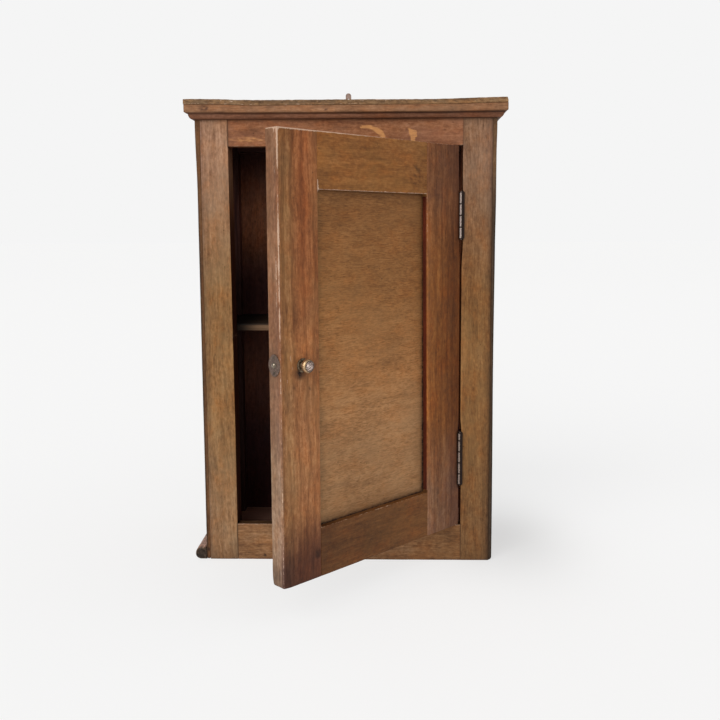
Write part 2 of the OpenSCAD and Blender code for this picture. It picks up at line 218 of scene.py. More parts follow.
# Old varnished wood. gr: millimetres, x along the grain, y across the face, z into it.
# tint: colour factor painted per point; wear: worn arrises; mark: varnish gone; the dirt channel: grime and painted
# shade.
def wood(name, dark, mid, light, streak=0.26, long=0.014, warp=2.0, fine=1.0, pores=0.5, mottle=1.0, hue=1.0, haze=(0.20, 0.16, 0.10), haze_amt=0.25,
         rough=(0.48, 0.70), bump=0.35, pale=(0.56, 0.38, 0.27), mark_col=(0.55, 0.24, 0.08), dash=0.0, contrast=1.0, rings=None, spec=0.16):
    m = NT(name)
    g = m.attr("gr")["Vector"]
    # slow waviness of the grain
    w = m.noise(m.scaled(g, 0.007, 0.02, 0.02), 1.0, 2.0, 0.5)
    gx, gy, gz = m.sep(g)
    gyw = m.math('MULTIPLY_ADD', w, warp*10, gy)
    gw = m.comb(gx, gyw, gz)
    s1 = m.noise(m.scaled(gw, long, streak, streak*0.8), 1.0, 5.0, 0.62)
    s2 = m.noise(m.scaled(gw, 0.085, 0.62*fine, 0.62*fine, (3.1, 7.7, 1.9)), 1.0, 3.0, 0.65)
    s3 = m.noise(m.scaled(gw, 0.11, 1.5*fine, 1.5*fine, (9.4, 2.2, 5.3)), 1.0, 2.0, 0.5)
    mo = m.noise(m.scaled(g, 0.20, 0.27, 0.27, (6.0, 1.0, 4.0)), 1.0, 4.0, 0.72)
    bl = m.noise(m.scaled(g, 0.016, 0.034, 0.034, (4.0, 8.0, 2.0)), 1.0, 4.0, 0.60)
    c = m.math('MULTIPLY_ADD', s1, 0.34*contrast, 0.5 - 0.5*contrast*(0.34 + 0.30 + 0.40*mottle + 0.26))
    c = m.math('MULTIPLY_ADD', s2, 0.30*contrast, c)
    c = m.math('MULTIPLY_ADD', mo, 0.40*mottle*contrast, c)
    c = m.math('MULTIPLY_ADD', bl, 0.26*contrast, c)
    height = m.math('MULTIPLY', s2, 0.6)
    if rings is not None:
        fr, dist, amt = rings
        rw = m.noise(m.scaled(g, 0.008, 0.030, 0.030, (7.0, 3.0, 1.0)), 1.0, 3.0, 0.55)
        ph = m.math('MULTIPLY_ADD', rw, dist*6.2832, m.math('MULTIPLY', gy, fr*6.2832))
        si = m.math('SINE', ph)
        line = m.math('POWER', m.math('MULTIPLY_ADD', si, 0.5, 0.5), 3.0)
        line = m.math('MULTIPLY', line, m.step(mo, 0.34, 0.60, 0.35, 1.0))
        c = m.math('MULTIPLY_ADD', line, -amt, c)
        height = m.math('MULTIPLY_ADD', line, -0.4, height)
    col = m.ramp(c, [(0.34, dark), (0.50, mid), (0.66, light)])
    # the varnish has gone redder in some places and greyer in others
    h = m.noise(m.scaled(g, 0.035, 0.065, 0.065, (1.0, 9.0, 5.0)), 1.0, 4.0, 0.62)
    col = m.mix(m.math('MULTIPLY', m.step(h, 0.49, 0.66), 0.85*hue), col, (1.09, 0.95, 0.80), 'MULTIPLY')
    col = m.mix(m.math('MULTIPLY', m.step(h, 0.51, 0.34), 0.85*hue), col, (0.92, 0.97, 1.06), 'MULTIPLY')
    # pores: short dark dashes along the grain
    pm = m.step(s3, 0.57, 0.68)
    col = m.mix(m.math('MULTIPLY', pm, pores*0.5), col, mul(dark, 0.40))
    height = m.math('MULTIPLY_ADD', pm, -0.5*pores, height)
    if dash > 0:
        d0 = m.noise(m.scaled(gw, 0.15, 0.95*fine, 0.95*fine, (1.0, 5.0, 7.0)), 1.0, 2.0, 0.6, 0.6)
        dm = m.step(d0, 0.50, 0.62)
        dl = m.step(d0, 0.50, 0.38)
        col = m.mix(m.math('MULTIPLY', dm, dash), col, mul(dark, 0.62))
        col = m.mix(m.math('MULTIPLY', dl, dash*0.35), col, mul(light, 1.12))
        height = m.math('SUBTRACT', height, m.math('MULTIPLY', dm, dash))
    # haze of old varnish, in patches
    hz = m.step(m.noise(m.scaled(g, 0.014, 0.026, 0.026, (2.5, 1.5, 6.5)), 1.0, 5.0, 0.68), 0.42, 0.64)
    col = m.mix(m.math('MULTIPLY', hz, haze_amt), col, haze)
    # painted colour factor
    tint = m.attr("tint")["Color"]
    col = m.mix(1.0, col, tint, 'MULTIPLY')
    # varnish gone in soft-edged places
    n1 = m.noise(m.scaled(g, 0.13, 0.42, 0.42, (8.0, 1.0, 3.0)), 1.0, 4.0, 0.65)
    n2 = m.noise(m.scaled(g, 0.34, 0.9, 0.9, (5.0, 3.0, 9.0)), 1.0, 3.0, 0.62)
    mk = m.attr("mark")["Fac"]
    mv = m.math('MULTIPLY_ADD', m.math('SUBTRACT', n1, 0.5), 1.1, mk)
    mm = m.step(mv, 0.30, 0.85)
    col = m.mix(m.math('MULTIPLY', mm, 0.80), col, m.mix(m.math('MULTIPLY_ADD', bl, 0.5, m.math('MULTIPLY', s2, 0.5)), mul(mark_col, 0.55), mul(mark_col, 1.35)))
    # worn arrises: paler, jagged
    we = m.attr("wear")["Fac"]
    wv = m.math('MULTIPLY_ADD', m.math('SUBTRACT', n2, 0.5), 1.3, we)
    wm = m.step(wv, 0.46, 0.72)
    wm = m.math('MULTIPLY', wm, m.step(we, 0.05, 0.30))
    col = m.mix(m.math('MULTIPLY', wm, 0.85), col, m.mix(s2, mul(pale, 0.75), mul(pale, 1.15)))
    # grime, and painted shade in recesses, under the crown and at the foot
    di = m.attr("dirt_and_shade")["Fac"]
    dv = m.math('MULTIPLY', di, m.step(mo, 0.25, 0.70, 0.70, 1.20), clamp=True)
    col = m.mix(dv, col, (0.014, 0.006, 0.004))
    # small dark specks and dents
    vo = m.voronoi(m.scaled(g, 0.10, 0.12, 0.12, (1.7, 0.3, 2.2)), 1.0)
    sp = m.math('MULTIPLY', m.step(vo, 0.10, 0.05), m.step(m.noise(m.scaled(g, 0.02, 0.02, 0.02), 1.0, 2.0), 0.5, 0.6))
    col = m.mix(m.math('MULTIPLY', sp, 0.6), col, mul(dark, 0.25))
    height = m.math('SUBTRACT', height, m.math('MULTIPLY', sp, 0.8))
    height = m.math('ADD', height, m.math('MULTIPLY', mo, 0.7))
    height = m.math('SUBTRACT', height, m.math('MULTIPLY', wm, m.math('MULTIPLY', n2, 0.6)))
    ro = m.math('MULTIPLY_ADD', mo, rough[1] - rough[0], rough[0])
    ro = m.math('ADD', ro, m.math('MULTIPLY', wm, 0.15), clamp=True)
    m.put(m.bsdf.inputs["Base Color"], col)
    m.put(m.bsdf.inputs["Roughness"], ro)
    m.bsdf.inputs["Specular IOR Level"].default_value = spec
    m.put(m.bsdf.inputs["Normal"], m.bump(height, bump, 0.0006))
    return m.mat


# the same for a carried-over CAD node, which has no painted points: the grain runs along axis
def wood_plain(name, dark, mid, light, axis='z', bump=0.3, shade=None, painted_light_band=None, painted_shade_above=None):
    m = NT(name)
    tc = m.t.nodes.new("ShaderNodeTexCoord")
    o = m.sep(m.scaled(tc.outputs["Object"], 1000.0, 1000.0, 1000.0))
    g = {'z': m.comb(o[2], o[0], o[1]), 'x': m.comb(o[0], o[1], o[2]), 'y': m.comb(o[1], o[0], o[2])}[axis]
    w = m.noise(m.scaled(g, 0.006, 0.02, 0.02), 1.0, 2.0, 0.5)
    gx, gy, gz = m.sep(g)
    gw = m.comb(gx, m.math('MULTIPLY_ADD', w, 25.0, gy), gz)
    s1 = m.noise(m.scaled(gw, 0.003, 0.16, 0.13), 1.0, 6.0, 0.62)
    s2 = m.noise(m.scaled(gw, 0.014, 1.0, 1.0, (3.1, 7.7, 1.9)), 1.0, 4.0, 0.6)
    bl = m.noise(m.scaled(g, 0.012, 0.03, 0.03, (4.0, 8.0, 2.0)), 1.0, 4.0, 0.55)
    c = m.math('ADD', m.math('MULTIPLY', s1, 0.5), m.math('MULTIPLY', s2, 0.28))
    c = m.math('ADD', c, m.math('MULTIPLY', bl, 0.22))
    col = m.ramp(c, [(0.36, dark), (0.50, mid), (0.64, light)])
    # painted light: lighter half way up
    if painted_light_band is not None:                               # lighter half way up
        z0, half, amt = painted_light_band
        q = m.math('DIVIDE', m.math('SUBTRACT', o[2], z0), half)
        e = m.math('EXPONENT', m.math('MULTIPLY', m.math('MULTIPLY', q, q), -1.0))
        f = m.math('MULTIPLY_ADD', e, amt, 1.0)
        col = m.mix(1.0, col, m.comb(f, f, f), 'MULTIPLY')
    # painted shade: dark above a height
    if painted_shade_above is not None:                              # dark above a height
        f = m.step(o[2], painted_shade_above, painted_shade_above - 0.8, 0.26, 1.0)
        col = m.mix(1.0, col, m.comb(f, f, f), 'MULTIPLY')
    # painted shadow: darker towards one end
    if shade is not None:                              # darker towards one end
        k, a, b, lo = shade
        f = m.step(o[k], a, b, lo, 1.0)
        col = m.mix(1.0, col, m.comb(f, f, f), 'MULTIPLY')
    m.put(m.bsdf.inputs["Base Color"], col)
    m.put(m.bsdf.inputs["Roughness"], m.math('MULTIPLY_ADD', s2, 0.2, 0.6))
    m.bsdf.inputs["Specular IOR Level"].default_value = 0.25
    m.put(m.bsdf.inputs["Normal"], m.bump(s2, bump, 0.0006))
    return m.mat


def metal(name, base, dark, light, rough=(0.3, 0.55), metallic=0.85, scale=0.35, patina=(0.10, 0.08, 0.05), patina_amt=0.5, bump=0.25, spec=0.5):
    m = NT(name)
    tc = m.t.nodes.new("ShaderNodeTexCoord")
    g = m.scaled(tc.outputs["Object"], 1000.0, 1000.0, 1000.0)
    a = m.noise(m.scaled(g, scale, scale, scale), 1.0, 5.0, 0.6)
    b = m.noise(m.scaled(g, scale*5, scale*5, scale*5, (3, 1, 7)), 1.0, 3.0, 0.6)
    c = m.math('ADD', m.math('MULTIPLY', a, 0.6), m.math('MULTIPLY', b, 0.4))
    col = m.ramp(c, [(0.34, dark), (0.5, base), (0.68, light)])
    pa = m.step(m.noise(m.scaled(g, scale*1.7, scale*1.7, scale*1.7, (6, 2, 4)), 1.0, 4.0, 0.6), 0.46, 0.62)
    col = m.mix(m.math('MULTIPLY', pa, patina_amt), col, patina)
    m.put(m.bsdf.inputs["Base Color"], col)
    m.bsdf.inputs["Metallic"].default_value = metallic
    m.put(m.bsdf.inputs["Roughness"], m.math('ADD', m.math('MULTIPLY_ADD', b, rough[1] - rough[0], rough[0]), m.math('MULTIPLY', pa, 0.15)))
    m.put(m.bsdf.inputs["Normal"], m.bump(m.math('ADD', a, m.math('MULTIPLY', b, 0.5)), bump, 0.0002))
    return m.mat


# a hinge: painted dark for the shade in the gap and the dark reflections on the barrel's sides, with a painted
# highlight down the front of the barrel, where it is also rubbed
def hinge_metal(name, base, dark, light, splits, sharp=(0.80, 0.965), toward=(-0.42, -0.91)):
    m = NT(name)
    tc = m.t.nodes.new("ShaderNodeTexCoord")
    g = m.scaled(tc.outputs["Object"], 1000.0, 1000.0, 1000.0)
    x, y, z = m.sep(g)
    dx, dy = m.math('SUBTRACT', x, PIN[0]), m.math('SUBTRACT', y, PIN[1])
    rr = m.math('SQRT', m.math('ADD', m.math('MULTIPLY', dx, dx), m.math('MULTIPLY_ADD', dy, dy, 0.01)))
    dot = m.math('DIVIDE', m.math('MULTIPLY_ADD', dx, toward[0], m.math('MULTIPLY', dy, toward[1])), rr)
    a = m.noise(g, 0.5, 4.0, 0.6)
    # painted highlight down the front of the barrel
    painted_highlight = m.step(m.math('MULTIPLY_ADD', m.math('SUBTRACT', a, 0.5), 0.25, dot), sharp[0], sharp[1])
    painted_highlight = m.math('MULTIPLY', painted_highlight, m.step(rr, 3.6, 3.1))
    near = None
    for q in splits:
        d = m.math('ABSOLUTE', m.math('SUBTRACT', z, q))
        k = m.step(d, 0.45, 1.25)
        near = k if near is None else m.math('MULTIPLY', near, k)
    painted_highlight = m.math('MULTIPLY', painted_highlight, near)
    b = m.noise(g, 1.9, 3.0, 0.6)
    lo = m.mix(b, mul(dark, 0.5), mul(dark, 1.5))
    hi = m.mix(m.step(b, 0.3, 0.7), base, light)
    m.put(m.bsdf.inputs["Base Color"], m.mix(painted_highlight, lo, hi))
    m.put(m.bsdf.inputs["Metallic"], m.math('MULTIPLY_ADD', painted_highlight, 0.25, 0.05))
    m.bsdf.inputs["Specular IOR Level"].default_value = 0.12
    m.put(m.bsdf.inputs["Roughness"], m.math('MULTIPLY_ADD', painted_highlight, -0.28, m.math('MULTIPLY_ADD', b, 0.2, 0.50)))
    m.put(m.bsdf.inputs["Normal"], m.bump(m.math('ADD', a, m.math('MULTIPLY', b, 0.5)), 0.25, 0.0002))
    return m.mat


# the knob's head: a rubbed rim, a dark groove, a swirled middle of painted highlights, and painted shade below and on
# the side towards the hinges, away from the hand
def knob_metal(name):
    m = NT(name)
    tc = m.t.nodes.new("ShaderNodeTexCoord")
    g = m.scaled(tc.outputs["Object"], 1000.0, 1000.0, 1000.0)
    t = math.radians(OPEN)
    kx, kz = DX0 + 27.4, 264.2
    dx, dy = kx - PIN[0], YF - PIN[1]
    cx, cy = PIN[0] + dx*math.cos(t) - dy*math.sin(t), PIN[1] + dx*math.sin(t) + dy*math.cos(t)
    x, y, z = m.sep(g)
    x, y, v = m.math('SUBTRACT', x, cx), m.math('SUBTRACT', y, cy), m.math('SUBTRACT', z, kz)
    u = m.math('MULTIPLY_ADD', x, math.cos(t), m.math('MULTIPLY', y, math.sin(t)))        # along the door, to the hinges
    h = m.math('MULTIPLY_ADD', x, math.sin(t), m.math('MULTIPLY', y, -math.cos(t)))       # out of the door
    r2 = m.math('MULTIPLY_ADD', u, u, m.math('MULTIPLY', v, v))
    rr = m.math('SQRT', r2)
    a = m.noise(g, 0.55, 4.0, 0.62)
    b = m.noise(g, 1.7, 3.0, 0.6, 1.2)
    rim = m.mix(m.step(b, 0.38, 0.62), (0.22, 0.125, 0.060), (0.72, 0.50, 0.29))
    # painted highlights: pinkish-silver swirls on the dark face
    face = m.mix(m.step(b, 0.47, 0.58), (0.10, 0.058, 0.045), (0.92, 0.76, 0.68))
    isface = m.math('MULTIPLY', m.step(rr, 5.3, 4.8), m.step(h, 9.6, 10.2))
    col = m.mix(isface, rim, face)
    groove = m.math('MULTIPLY', m.math('MULTIPLY', m.step(rr, 4.3, 4.9), m.step(rr, 6.0, 5.4)), m.step(h, 9.0, 9.8))
    neck = m.step(h, 5.6, 4.4)
    # painted shade below and on the hinge side of the head
    painted_shade_side = m.math('MULTIPLY', m.step(m.math('MULTIPLY_ADD', u, 0.75, m.math('MULTIPLY', v, -0.55)), 0.8, 4.4), m.step(rr, 3.8, 5.0))
    dk = m.math('MAXIMUM', m.math('MAXIMUM', m.math('MULTIPLY', groove, 0.85), m.math('MULTIPLY', neck, 0.75)), m.math('MULTIPLY', painted_shade_side, 0.90))
    col = m.mix(dk, col, m.mix(a, (0.020, 0.012, 0.008), (0.070, 0.042, 0.026)))
    m.put(m.bsdf.inputs["Base Color"], col)
    m.put(m.bsdf.inputs["Metallic"], m.math('MULTIPLY_ADD', dk, -0.55, 0.90))
    m.put(m.bsdf.inputs["Roughness"], m.math('MULTIPLY_ADD', a, 0.25, m.math('MULTIPLY_ADD', dk, 0.25, 0.16)))
    m.put(m.bsdf.inputs["Normal"], m.bump(m.math('ADD', a, m.math('MULTIPLY', b, 0.8)), 0.45, 0.0003))
    return m.mat


# ------------------------------------------------------------------ meshes
def make_object(name, verts, faces, mat, attrs, matrix=None, smooth_angle=35.0):
    me = bpy.data.meshes.new(name)
    me.from_pydata([tuple(v) for v in np.asarray(verts)*MM], [], [tuple(f) for f in faces])
    me.update()
    for key, val in attrs.items():
        val = np.asarray(val, float)
        if val.ndim == 1:
            a = me.attributes.new(key, 'FLOAT', 'POINT')
            a.data.foreach_set("value", val)
        elif key == "tint":
            a = me.attributes.new(key, 'FLOAT_COLOR', 'POINT')
            a.data.foreach_set("color", np.c_[val, np.ones(len(val))].ravel())
        else:
            a = me.attributes.new(key, 'FLOAT_VECTOR', 'POINT')
            a.data.foreach_set("vector", val.ravel())
    me.materials.append(mat)
    me.shade_smooth()
    o = bpy.data.objects.new(name, me)
    bpy.context.scene.collection.objects.link(o)
    if matrix is not None:
        o.matrix_world = matrix
    return o


def ticks(length, step, dense):
    e = [d for d in dense if d < length*0.42]
    lo, hi = e, [length - d for d in reversed(e)]
    n = max(1, int(math.ceil((hi[0] - lo[-1])/step)))
    mid = list(np.linspace(lo[-1], hi[0], n + 1))[1:-1]
    return np.array(lo + mid + hi)


EDGE = (0.0, 0.2, 0.5, 0.95, 1.6, 2.6, 4.2)


def lattice(size, steps, dense=EDGE):
    """The surface of a box as quads, with closer rows by its arrises."""
    ax = [ticks(size[k], steps[k], dense) for k in range(3)]
    n = [len(a) for a in ax]
    ids = -np.ones(n, int)
    on = np.zeros(n, bool)
    on[0], on[-1] = True, True
    on[:, 0], on[:, -1] = True, True
    on[:, :, 0], on[:, :, -1] = True, True
    idx = np.argwhere(on)
    ids[tuple(idx.T)] = np.arange(len(idx))
    p = np.c_[ax[0][idx[:, 0]], ax[1][idx[:, 1]], ax[2][idx[:, 2]]]
    faces = []
    for k in range(3):
        a, b = [(1, 2), (2, 0), (0, 1)][k]
        for end in (0, n[k] - 1):
            sl = np.take(ids, end, axis=k)          # remaining axes keep their order
            if (a, b) == (2, 0):
                sl = sl.T                            # now indexed [z, x]
            q = np.stack([sl[:-1, :-1], sl[1:, :-1], sl[1:, 1:], sl[:-1, 1:]], -1).reshape(-1, 4)
            faces.append(q if end else q[:, ::-1])
    return p, np.concatenate(faces)


def board(name, lo, hi, grain, mat, body, nodes, seed, r=0.7, r_var=0.6, chip=0.0, chip_scale=0.08, steps=None,
          wear=0.35, wear_fn=None, tint_fn=None, mark_fn=None, dirt_and_shade_fn=None, edge_r=None, warp=0.12, matrix=None, shape=None,
          face=(1, 0), extra=None):
    """A plank from lo to hi (mm), its arrises rounded and worn unevenly. grain is 0, 1 or 2; face gives which other axis runs across."""
    lo, hi = np.array(lo, float), np.array(hi, float)
    size = hi - lo
    if steps is None:
        steps = [4.0, 4.0, 4.0]
    p, faces = lattice(size, steps)
    pw = p + lo
    # rounding radius
    R = r*(1.0 + r_var*fbm(pw*0.05, seed, 3)) + 0.0
    if chip > 0:
        c = fbm(pw*chip_scale, seed + 5, 3, 0.6)
        R = R + chip*smooth(0.18, 0.62, c)
    if edge_r is not None:
        R = edge_r(pw, R)
    R = np.clip(R, 0.12, 0.45*size.min())
    q = np.clip(p, R[:, None], size - R[:, None])
    d = p - q
    ln = np.linalg.norm(d, axis=1)
    inside = ln < 1e-9
    ln[inside] = 1.0
    p2 = q + d/ln[:, None]*R[:, None]
    p2[inside] = p[inside]
    # distance from the nearest arris, along the faces
    away = np.sort(np.minimum(p, size - p), axis=1)
    dist = away[:, 1]
    # planed unevenly: only ever inwards
    k = np.clip((dist - 1.0)/6.0, 0, 1)
    inward = warp*(0.5 + 0.5*fbm(pw*0.018, seed + 9, 2))*k
    nrm = np.zeros_like(p)
    for a in range(3):
        nrm[:, a] += np.where(p[:, a] < 1e-6, 1.0, 0.0) - np.where(p[:, a] > size[a] - 1e-6, 1.0, 0.0)
    single = (np.abs(nrm).sum(1) == 1)
    p2 = p2 + nrm*(inward*single)[:, None]
    if shape is not None:
        p2 = shape(p2 + lo, p + lo) - lo
    v = p2 + lo
    other = [a for a in range(3) if a != grain]
    if face[0]:
        other = [other[0], other[1]]
    else:
        other = [other[1], other[0]]
    rs = np.random.RandomState(seed)
    off = rs.uniform(-400, 400, 3)
    gr = np.c_[pw[:, grain] + off[0], pw[:, other[0]] + off[1], pw[:, other[1]] + off[2]]
    near = np.exp(-dist/0.9)
    wv = near*wear*(1.0 + 0.5*fbm(pw*0.02, seed + 21, 2))
    if wear_fn is not None:
        wv = wear_fn(pw, dist, wv)
    tint = np.ones((len(pw), 3))
    if tint_fn is not None:
        tint = tint_fn(pw, tint)
    mark = mark_fn(pw) if mark_fn is not None else np.zeros(len(pw))
    dirt_and_shade = dirt_and_shade_fn(pw, dist) if dirt_and_shade_fn is not None else np.zeros(len(pw))
    faces = [tuple(f) for f in faces]
    if extra is not None:
        v, faces, gr, wv, tint, mark, dirt_and_shade = extra(v, faces, gr, wv, tint, mark, dirt_and_shade)
    o = make_object(name, v, faces, mat, {"gr": gr, "wear": np.clip(wv, 0, 2), "tint": tint, "mark": mark, "dirt_and_shade": np.clip(dirt_and_shade, 0, 1)}, matrix)
    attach(o, body)
    if nodes:
        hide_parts(*nodes)
    return o


def blob(p, axes, centre, radii, soft=0.5):
    """1 inside an ellipse on two axes, falling to 0 outside."""
    d = np.sqrt(sum(((p[:, a] - c)/r)**2 for a, c, r in zip(axes, centre, radii)))
    return 1.0 - smooth(1.0 - soft, 1.0 + soft, d)


# ------------------------------------------------------------------ colours (linear)
W_CASE = dict(dark=(0.105, 0.048, 0.019), mid=(0.225, 0.118, 0.050), light=(0.350, 0.205, 0.098))
W_RAIL = dict(dark=(0.120, 0.042, 0.015), mid=(0.240, 0.096, 0.036), light=(0.350, 0.165, 0.075))
W_DOOR = dict(dark=(0.100, 0.038, 0.014), mid=(0.210, 0.090, 0.034), light=(0.330, 0.165, 0.072))
W_PANEL = dict(dark=(0.110, 0.048, 0.017), mid=(0.225, 0.110, 0.042), light=(0.340, 0.185, 0.082))
W_IN = dict(dark=(0.045, 0.018, 0.015), mid=(0.085, 0.034, 0.027), light=(0.150, 0.062, 0.046))

m_stile = wood("oak_stile", **W_CASE, streak=0.26, pores=0.7, haze=(0.235, 0.165, 0.090), haze_amt=0.35)
m_side = wood("oak_side_board", **{k: mul(c, 0.85) for k, c in W_CASE.items()}, streak=0.3, haze=(0.19, 0.120, 0.070), haze_amt=0.30)
m_rail = wood("red_rail", **W_RAIL, streak=0.22, pores=0.5, mottle=1.2, haze=(0.26, 0.12, 0.065), haze_amt=0.35, mark_col=(0.62, 0.29, 0.10), contrast=0.95)
m_railb = wood("oak_bottom_rail", **W_CASE, streak=0.34, fine=1.1, pores=0.9, haze=(0.22, 0.13, 0.06), haze_amt=0.2, dash=0.22, contrast=1.1, rings=(0.20, 1.2, 0.09))
m_crown = wood("oak_crown", **W_CASE, streak=0.24, fine=1.0, pores=0.5, haze=(0.24, 0.15, 0.075), haze_amt=0.3)
m_top = wood("oak_top_board", **{k: mul(c, 0.95) for k, c in W_CASE.items()}, streak=0.3, fine=1.1, pores=0.8, mottle=1.5, haze=(0.15, 0.11, 0.07), haze_amt=0.4)
m_back = wood("rough_back", **{k: mul(c, 0.75) for k, c in W_CASE.items()}, streak=0.14, fine=0.8, pores=0.9, haze=(0.17, 0.112, 0.072), haze_amt=0.40, bump=0.6)
m_doorst = wood("pine_door_stile", **W_DOOR, streak=0.30, warp=2.4, fine=1.15, pores=0.45, mottle=1.05, hue=0.75, haze=(0.20, 0.115, 0.045), haze_amt=0.25, contrast=1.06, rings=(0.085, 2.3, 0.09))
m_doorhs = wood("pine_door_hinge_stile", **W_DOOR, streak=0.22, warp=1.6, pores=0.4, haze=(0.12, 0.065, 0.05), haze_amt=0.3, rings=(0.10, 1.2, 0.06))
m_doorrt = wood("oak_door_rail", **W_PANEL, streak=0.24, pores=0.4, haze=(0.22, 0.13, 0.048), haze_amt=0.3, dash=0.10)
m_panel = wood("oak_panel", **W_PANEL, streak=0.16, warp=0.8, fine=1.35, pores=0.3, mottle=0.9, hue=0.6, haze=(0.26, 0.15, 0.070), haze_amt=0.30, dash=0.40, contrast=0.74)
m_batten = wood("weathered_batten", dark=(0.035, 0.024, 0.018), mid=(0.10, 0.068, 0.050), light=(0.25, 0.18, 0.14), streak=0.4, fine=1.3, pores=1.0, mottle=1.6,
                haze=(0.20, 0.16, 0.14), haze_amt=0.35, bump=0.7, contrast=1.3)

IN_Z = wood_plain("dark_inside_upright", **W_IN, axis='z')
# painted light: the corner posts are lighter half way up the upper compartment
POST = wood_plain("dark_corner_post", dark=(0.034, 0.015, 0.013), mid=(0.062, 0.027, 0.022), light=(0.104, 0.047, 0.038), axis='z', painted_light_band=(412.0, 52.0, 3.2))
IN_X = wood_plain("dark_inside_across", **W_IN, axis='x')
IN_Y = wood_plain("dark_inside_deep", **W_IN, axis='y')
FLOOR_IN = wood_plain("dark_inside_floor", dark=(0.137, 0.067, 0.051), mid=(0.268, 0.135, 0.101), light=(0.45, 0.245, 0.18), axis='x')
# the shelf: a painted shadow towards its left end, and painted shade on its top face and the top of its front edge
SHELF = wood_plain("dark_shelf", dark=(0.066, 0.033, 0.016), mid=(0.128, 0.068, 0.034), light=(0.205, 0.118, 0.062), axis='x', shade=(0, -134.0, -104.0, 0.10), painted_shade_above=282.7)

BRASS = metal("aged_brass", base=(0.42, 0.29, 0.15), dark=(0.10, 0.066, 0.036), light=(0.78, 0.62, 0.42), patina=(0.075, 0.050, 0.034), patina_amt=0.45, metallic=0.92, rough=(0.20, 0.40), scale=0.30)
KNOB = knob_metal("worn_brass_knob")
ROSETTE = metal("dull_brass", base=(0.14, 0.095, 0.055), dark=(0.045, 0.030, 0.018), light=(0.38, 0.29, 0.19), patina=(0.05, 0.036, 0.025), patina_amt=0.6, metallic=0.85, rough=(0.30, 0.5))
CATCH = metal("aged_catch_plate", base=(0.125, 0.078, 0.055), dark=(0.050, 0.030, 0.022), light=(0.26, 0.175, 0.135), patina=(0.040, 0.026, 0.020), patina_amt=0.6, metallic=0.30, rough=(0.45, 0.65), scale=0.55)
BALL = metal("worn_ball", base=(0.24, 0.19, 0.14), dark=(0.10, 0.08, 0.06), light=(0.80, 0.74, 0.62), patina=(0.08, 0.065, 0.05), patina_amt=0.45, rough=(0.10, 0.25), metallic=0.95)
IRON = metal("dark_iron", base=(0.085, 0.068, 0.052), dark=(0.035, 0.026, 0.02), light=(0.17, 0.13, 0.10), patina=(0.10, 0.045, 0.02), patina_amt=0.5, metallic=0.6, rough=(0.5, 0.7))
STRAP = metal("copper_strap", base=(0.31, 0.21, 0.17), dark=(0.17, 0.11, 0.09), light=(0.46, 0.34, 0.28), patina=(0.14, 0.095, 0.075), patina_amt=0.4, metallic=0.35, rough=(0.45, 0.6))
UP_SPLITS = [385.4 + 13.3*k for k in range(5)]
LO_SPLITS = [94.9 + 13.3*k for k in range(5)] + [157.4]
HINGE_UP = hinge_metal("worn_hinge_upper_painted_highlight", (0.34, 0.27, 0.235), (0.016, 0.009, 0.007), (0.90, 0.77, 0.70), UP_SPLITS, sharp=(0.80, 0.93), toward=(-0.80, -0.60))
HINGE_LO = hinge_metal("worn_hinge_lower_painted_highlight", (0.20, 0.155, 0.13), (0.016, 0.009, 0.007), (0.48, 0.39, 0.34), LO_SPLITS, sharp=(0.86, 0.96), toward=(-0.65, -0.76))


# ------------------------------------------------------------------ case
def stile_tint(p, t):
    x, z = p[:, 0], p[:, 2]
    left = x < 0
    across = np.where(left, (x + XI)/(XI - XS), (XI - x)/(XI - XS))      # 0 by the side board, 1 by the opening
    a = fbm(np.c_[x*0.03, p[:, 1]*0.02, z*0.012], 3, 4)[:, None]
    t = t*(1.0 + 0.16*a*np.array([1.0, 1.05, 1.2]))
    top = smooth(300, 500, z)[:, None]
    low = smooth(190, 30, z)[:, None]
    t = t*np.where(left[:, None], np.array([1.15, 1.055, 0.855]), np.array([0.86, 0.71, 0.49]))
    t = np.where(left[:, None], t*(1 + top*np.array([0.34, 0.39, 1.10])), t*(1 + top*np.array([0.11, 0.30, 1.32])))
    t = np.where(left[:, None], t*(1 + low*np.array([-0.03, 0.02, 0.30])), t*(1 - low*np.array([0.25, 0.215, 0.10])))
    side = np.exp(-across/0.16)[:, None]
    t = t*(1 - side*np.where(left[:, None], np.array([0.36, 0.34, 0.24]), np.array([0.30, 0.30, 0.20])))
    t = t*(1 - ((~left)*0.45*(1 - 0.5*smooth(380, 500, z))*np.exp(-(XI - np.abs(x))/1.7))[:, None])
    t = t*(1 - ((~left)*0.42*(1 - 0.5*smooth(380, 500, z))*np.exp(-(XI - np.abs(x))/2.8))[:, None])
    t = t*(1 + ((~left)*0.28*np.exp(-(np.abs(x) - XS)/1.6))[:, None])
    t = t*(1 - (left*0.20*smooth(26, 6, z))[:, None])
    # painted shade: the stiles' faces into the opening are darker, less so at the top of the left one
    inner = smooth(XS + 0.9, XS + 0.1, np.abs(x))*smooth(YF + 1.2, YF + 2.4, p[:, 1])
    t = t*(1 - inner[:, None]*(1 - 0.80*smooth(385, 465, z)[:, None]*left[:, None])*np.where(left[:, None], np.array([0.78, 0.88, 0.86]), np.array([0.42, 0.64, 0.72])))
    # fine ray flecks in the middle of the right stile
    fl = fbm(np.c_[x*0.55, p[:, 1]*0.3, z*0.16], 203, 3, 0.6)
    t = t*(1 + (0.30*smooth(0.25, 0.5, fl)*np.exp(-((z - 240)/70.0)**2)*(~left))[:, None])
    return t


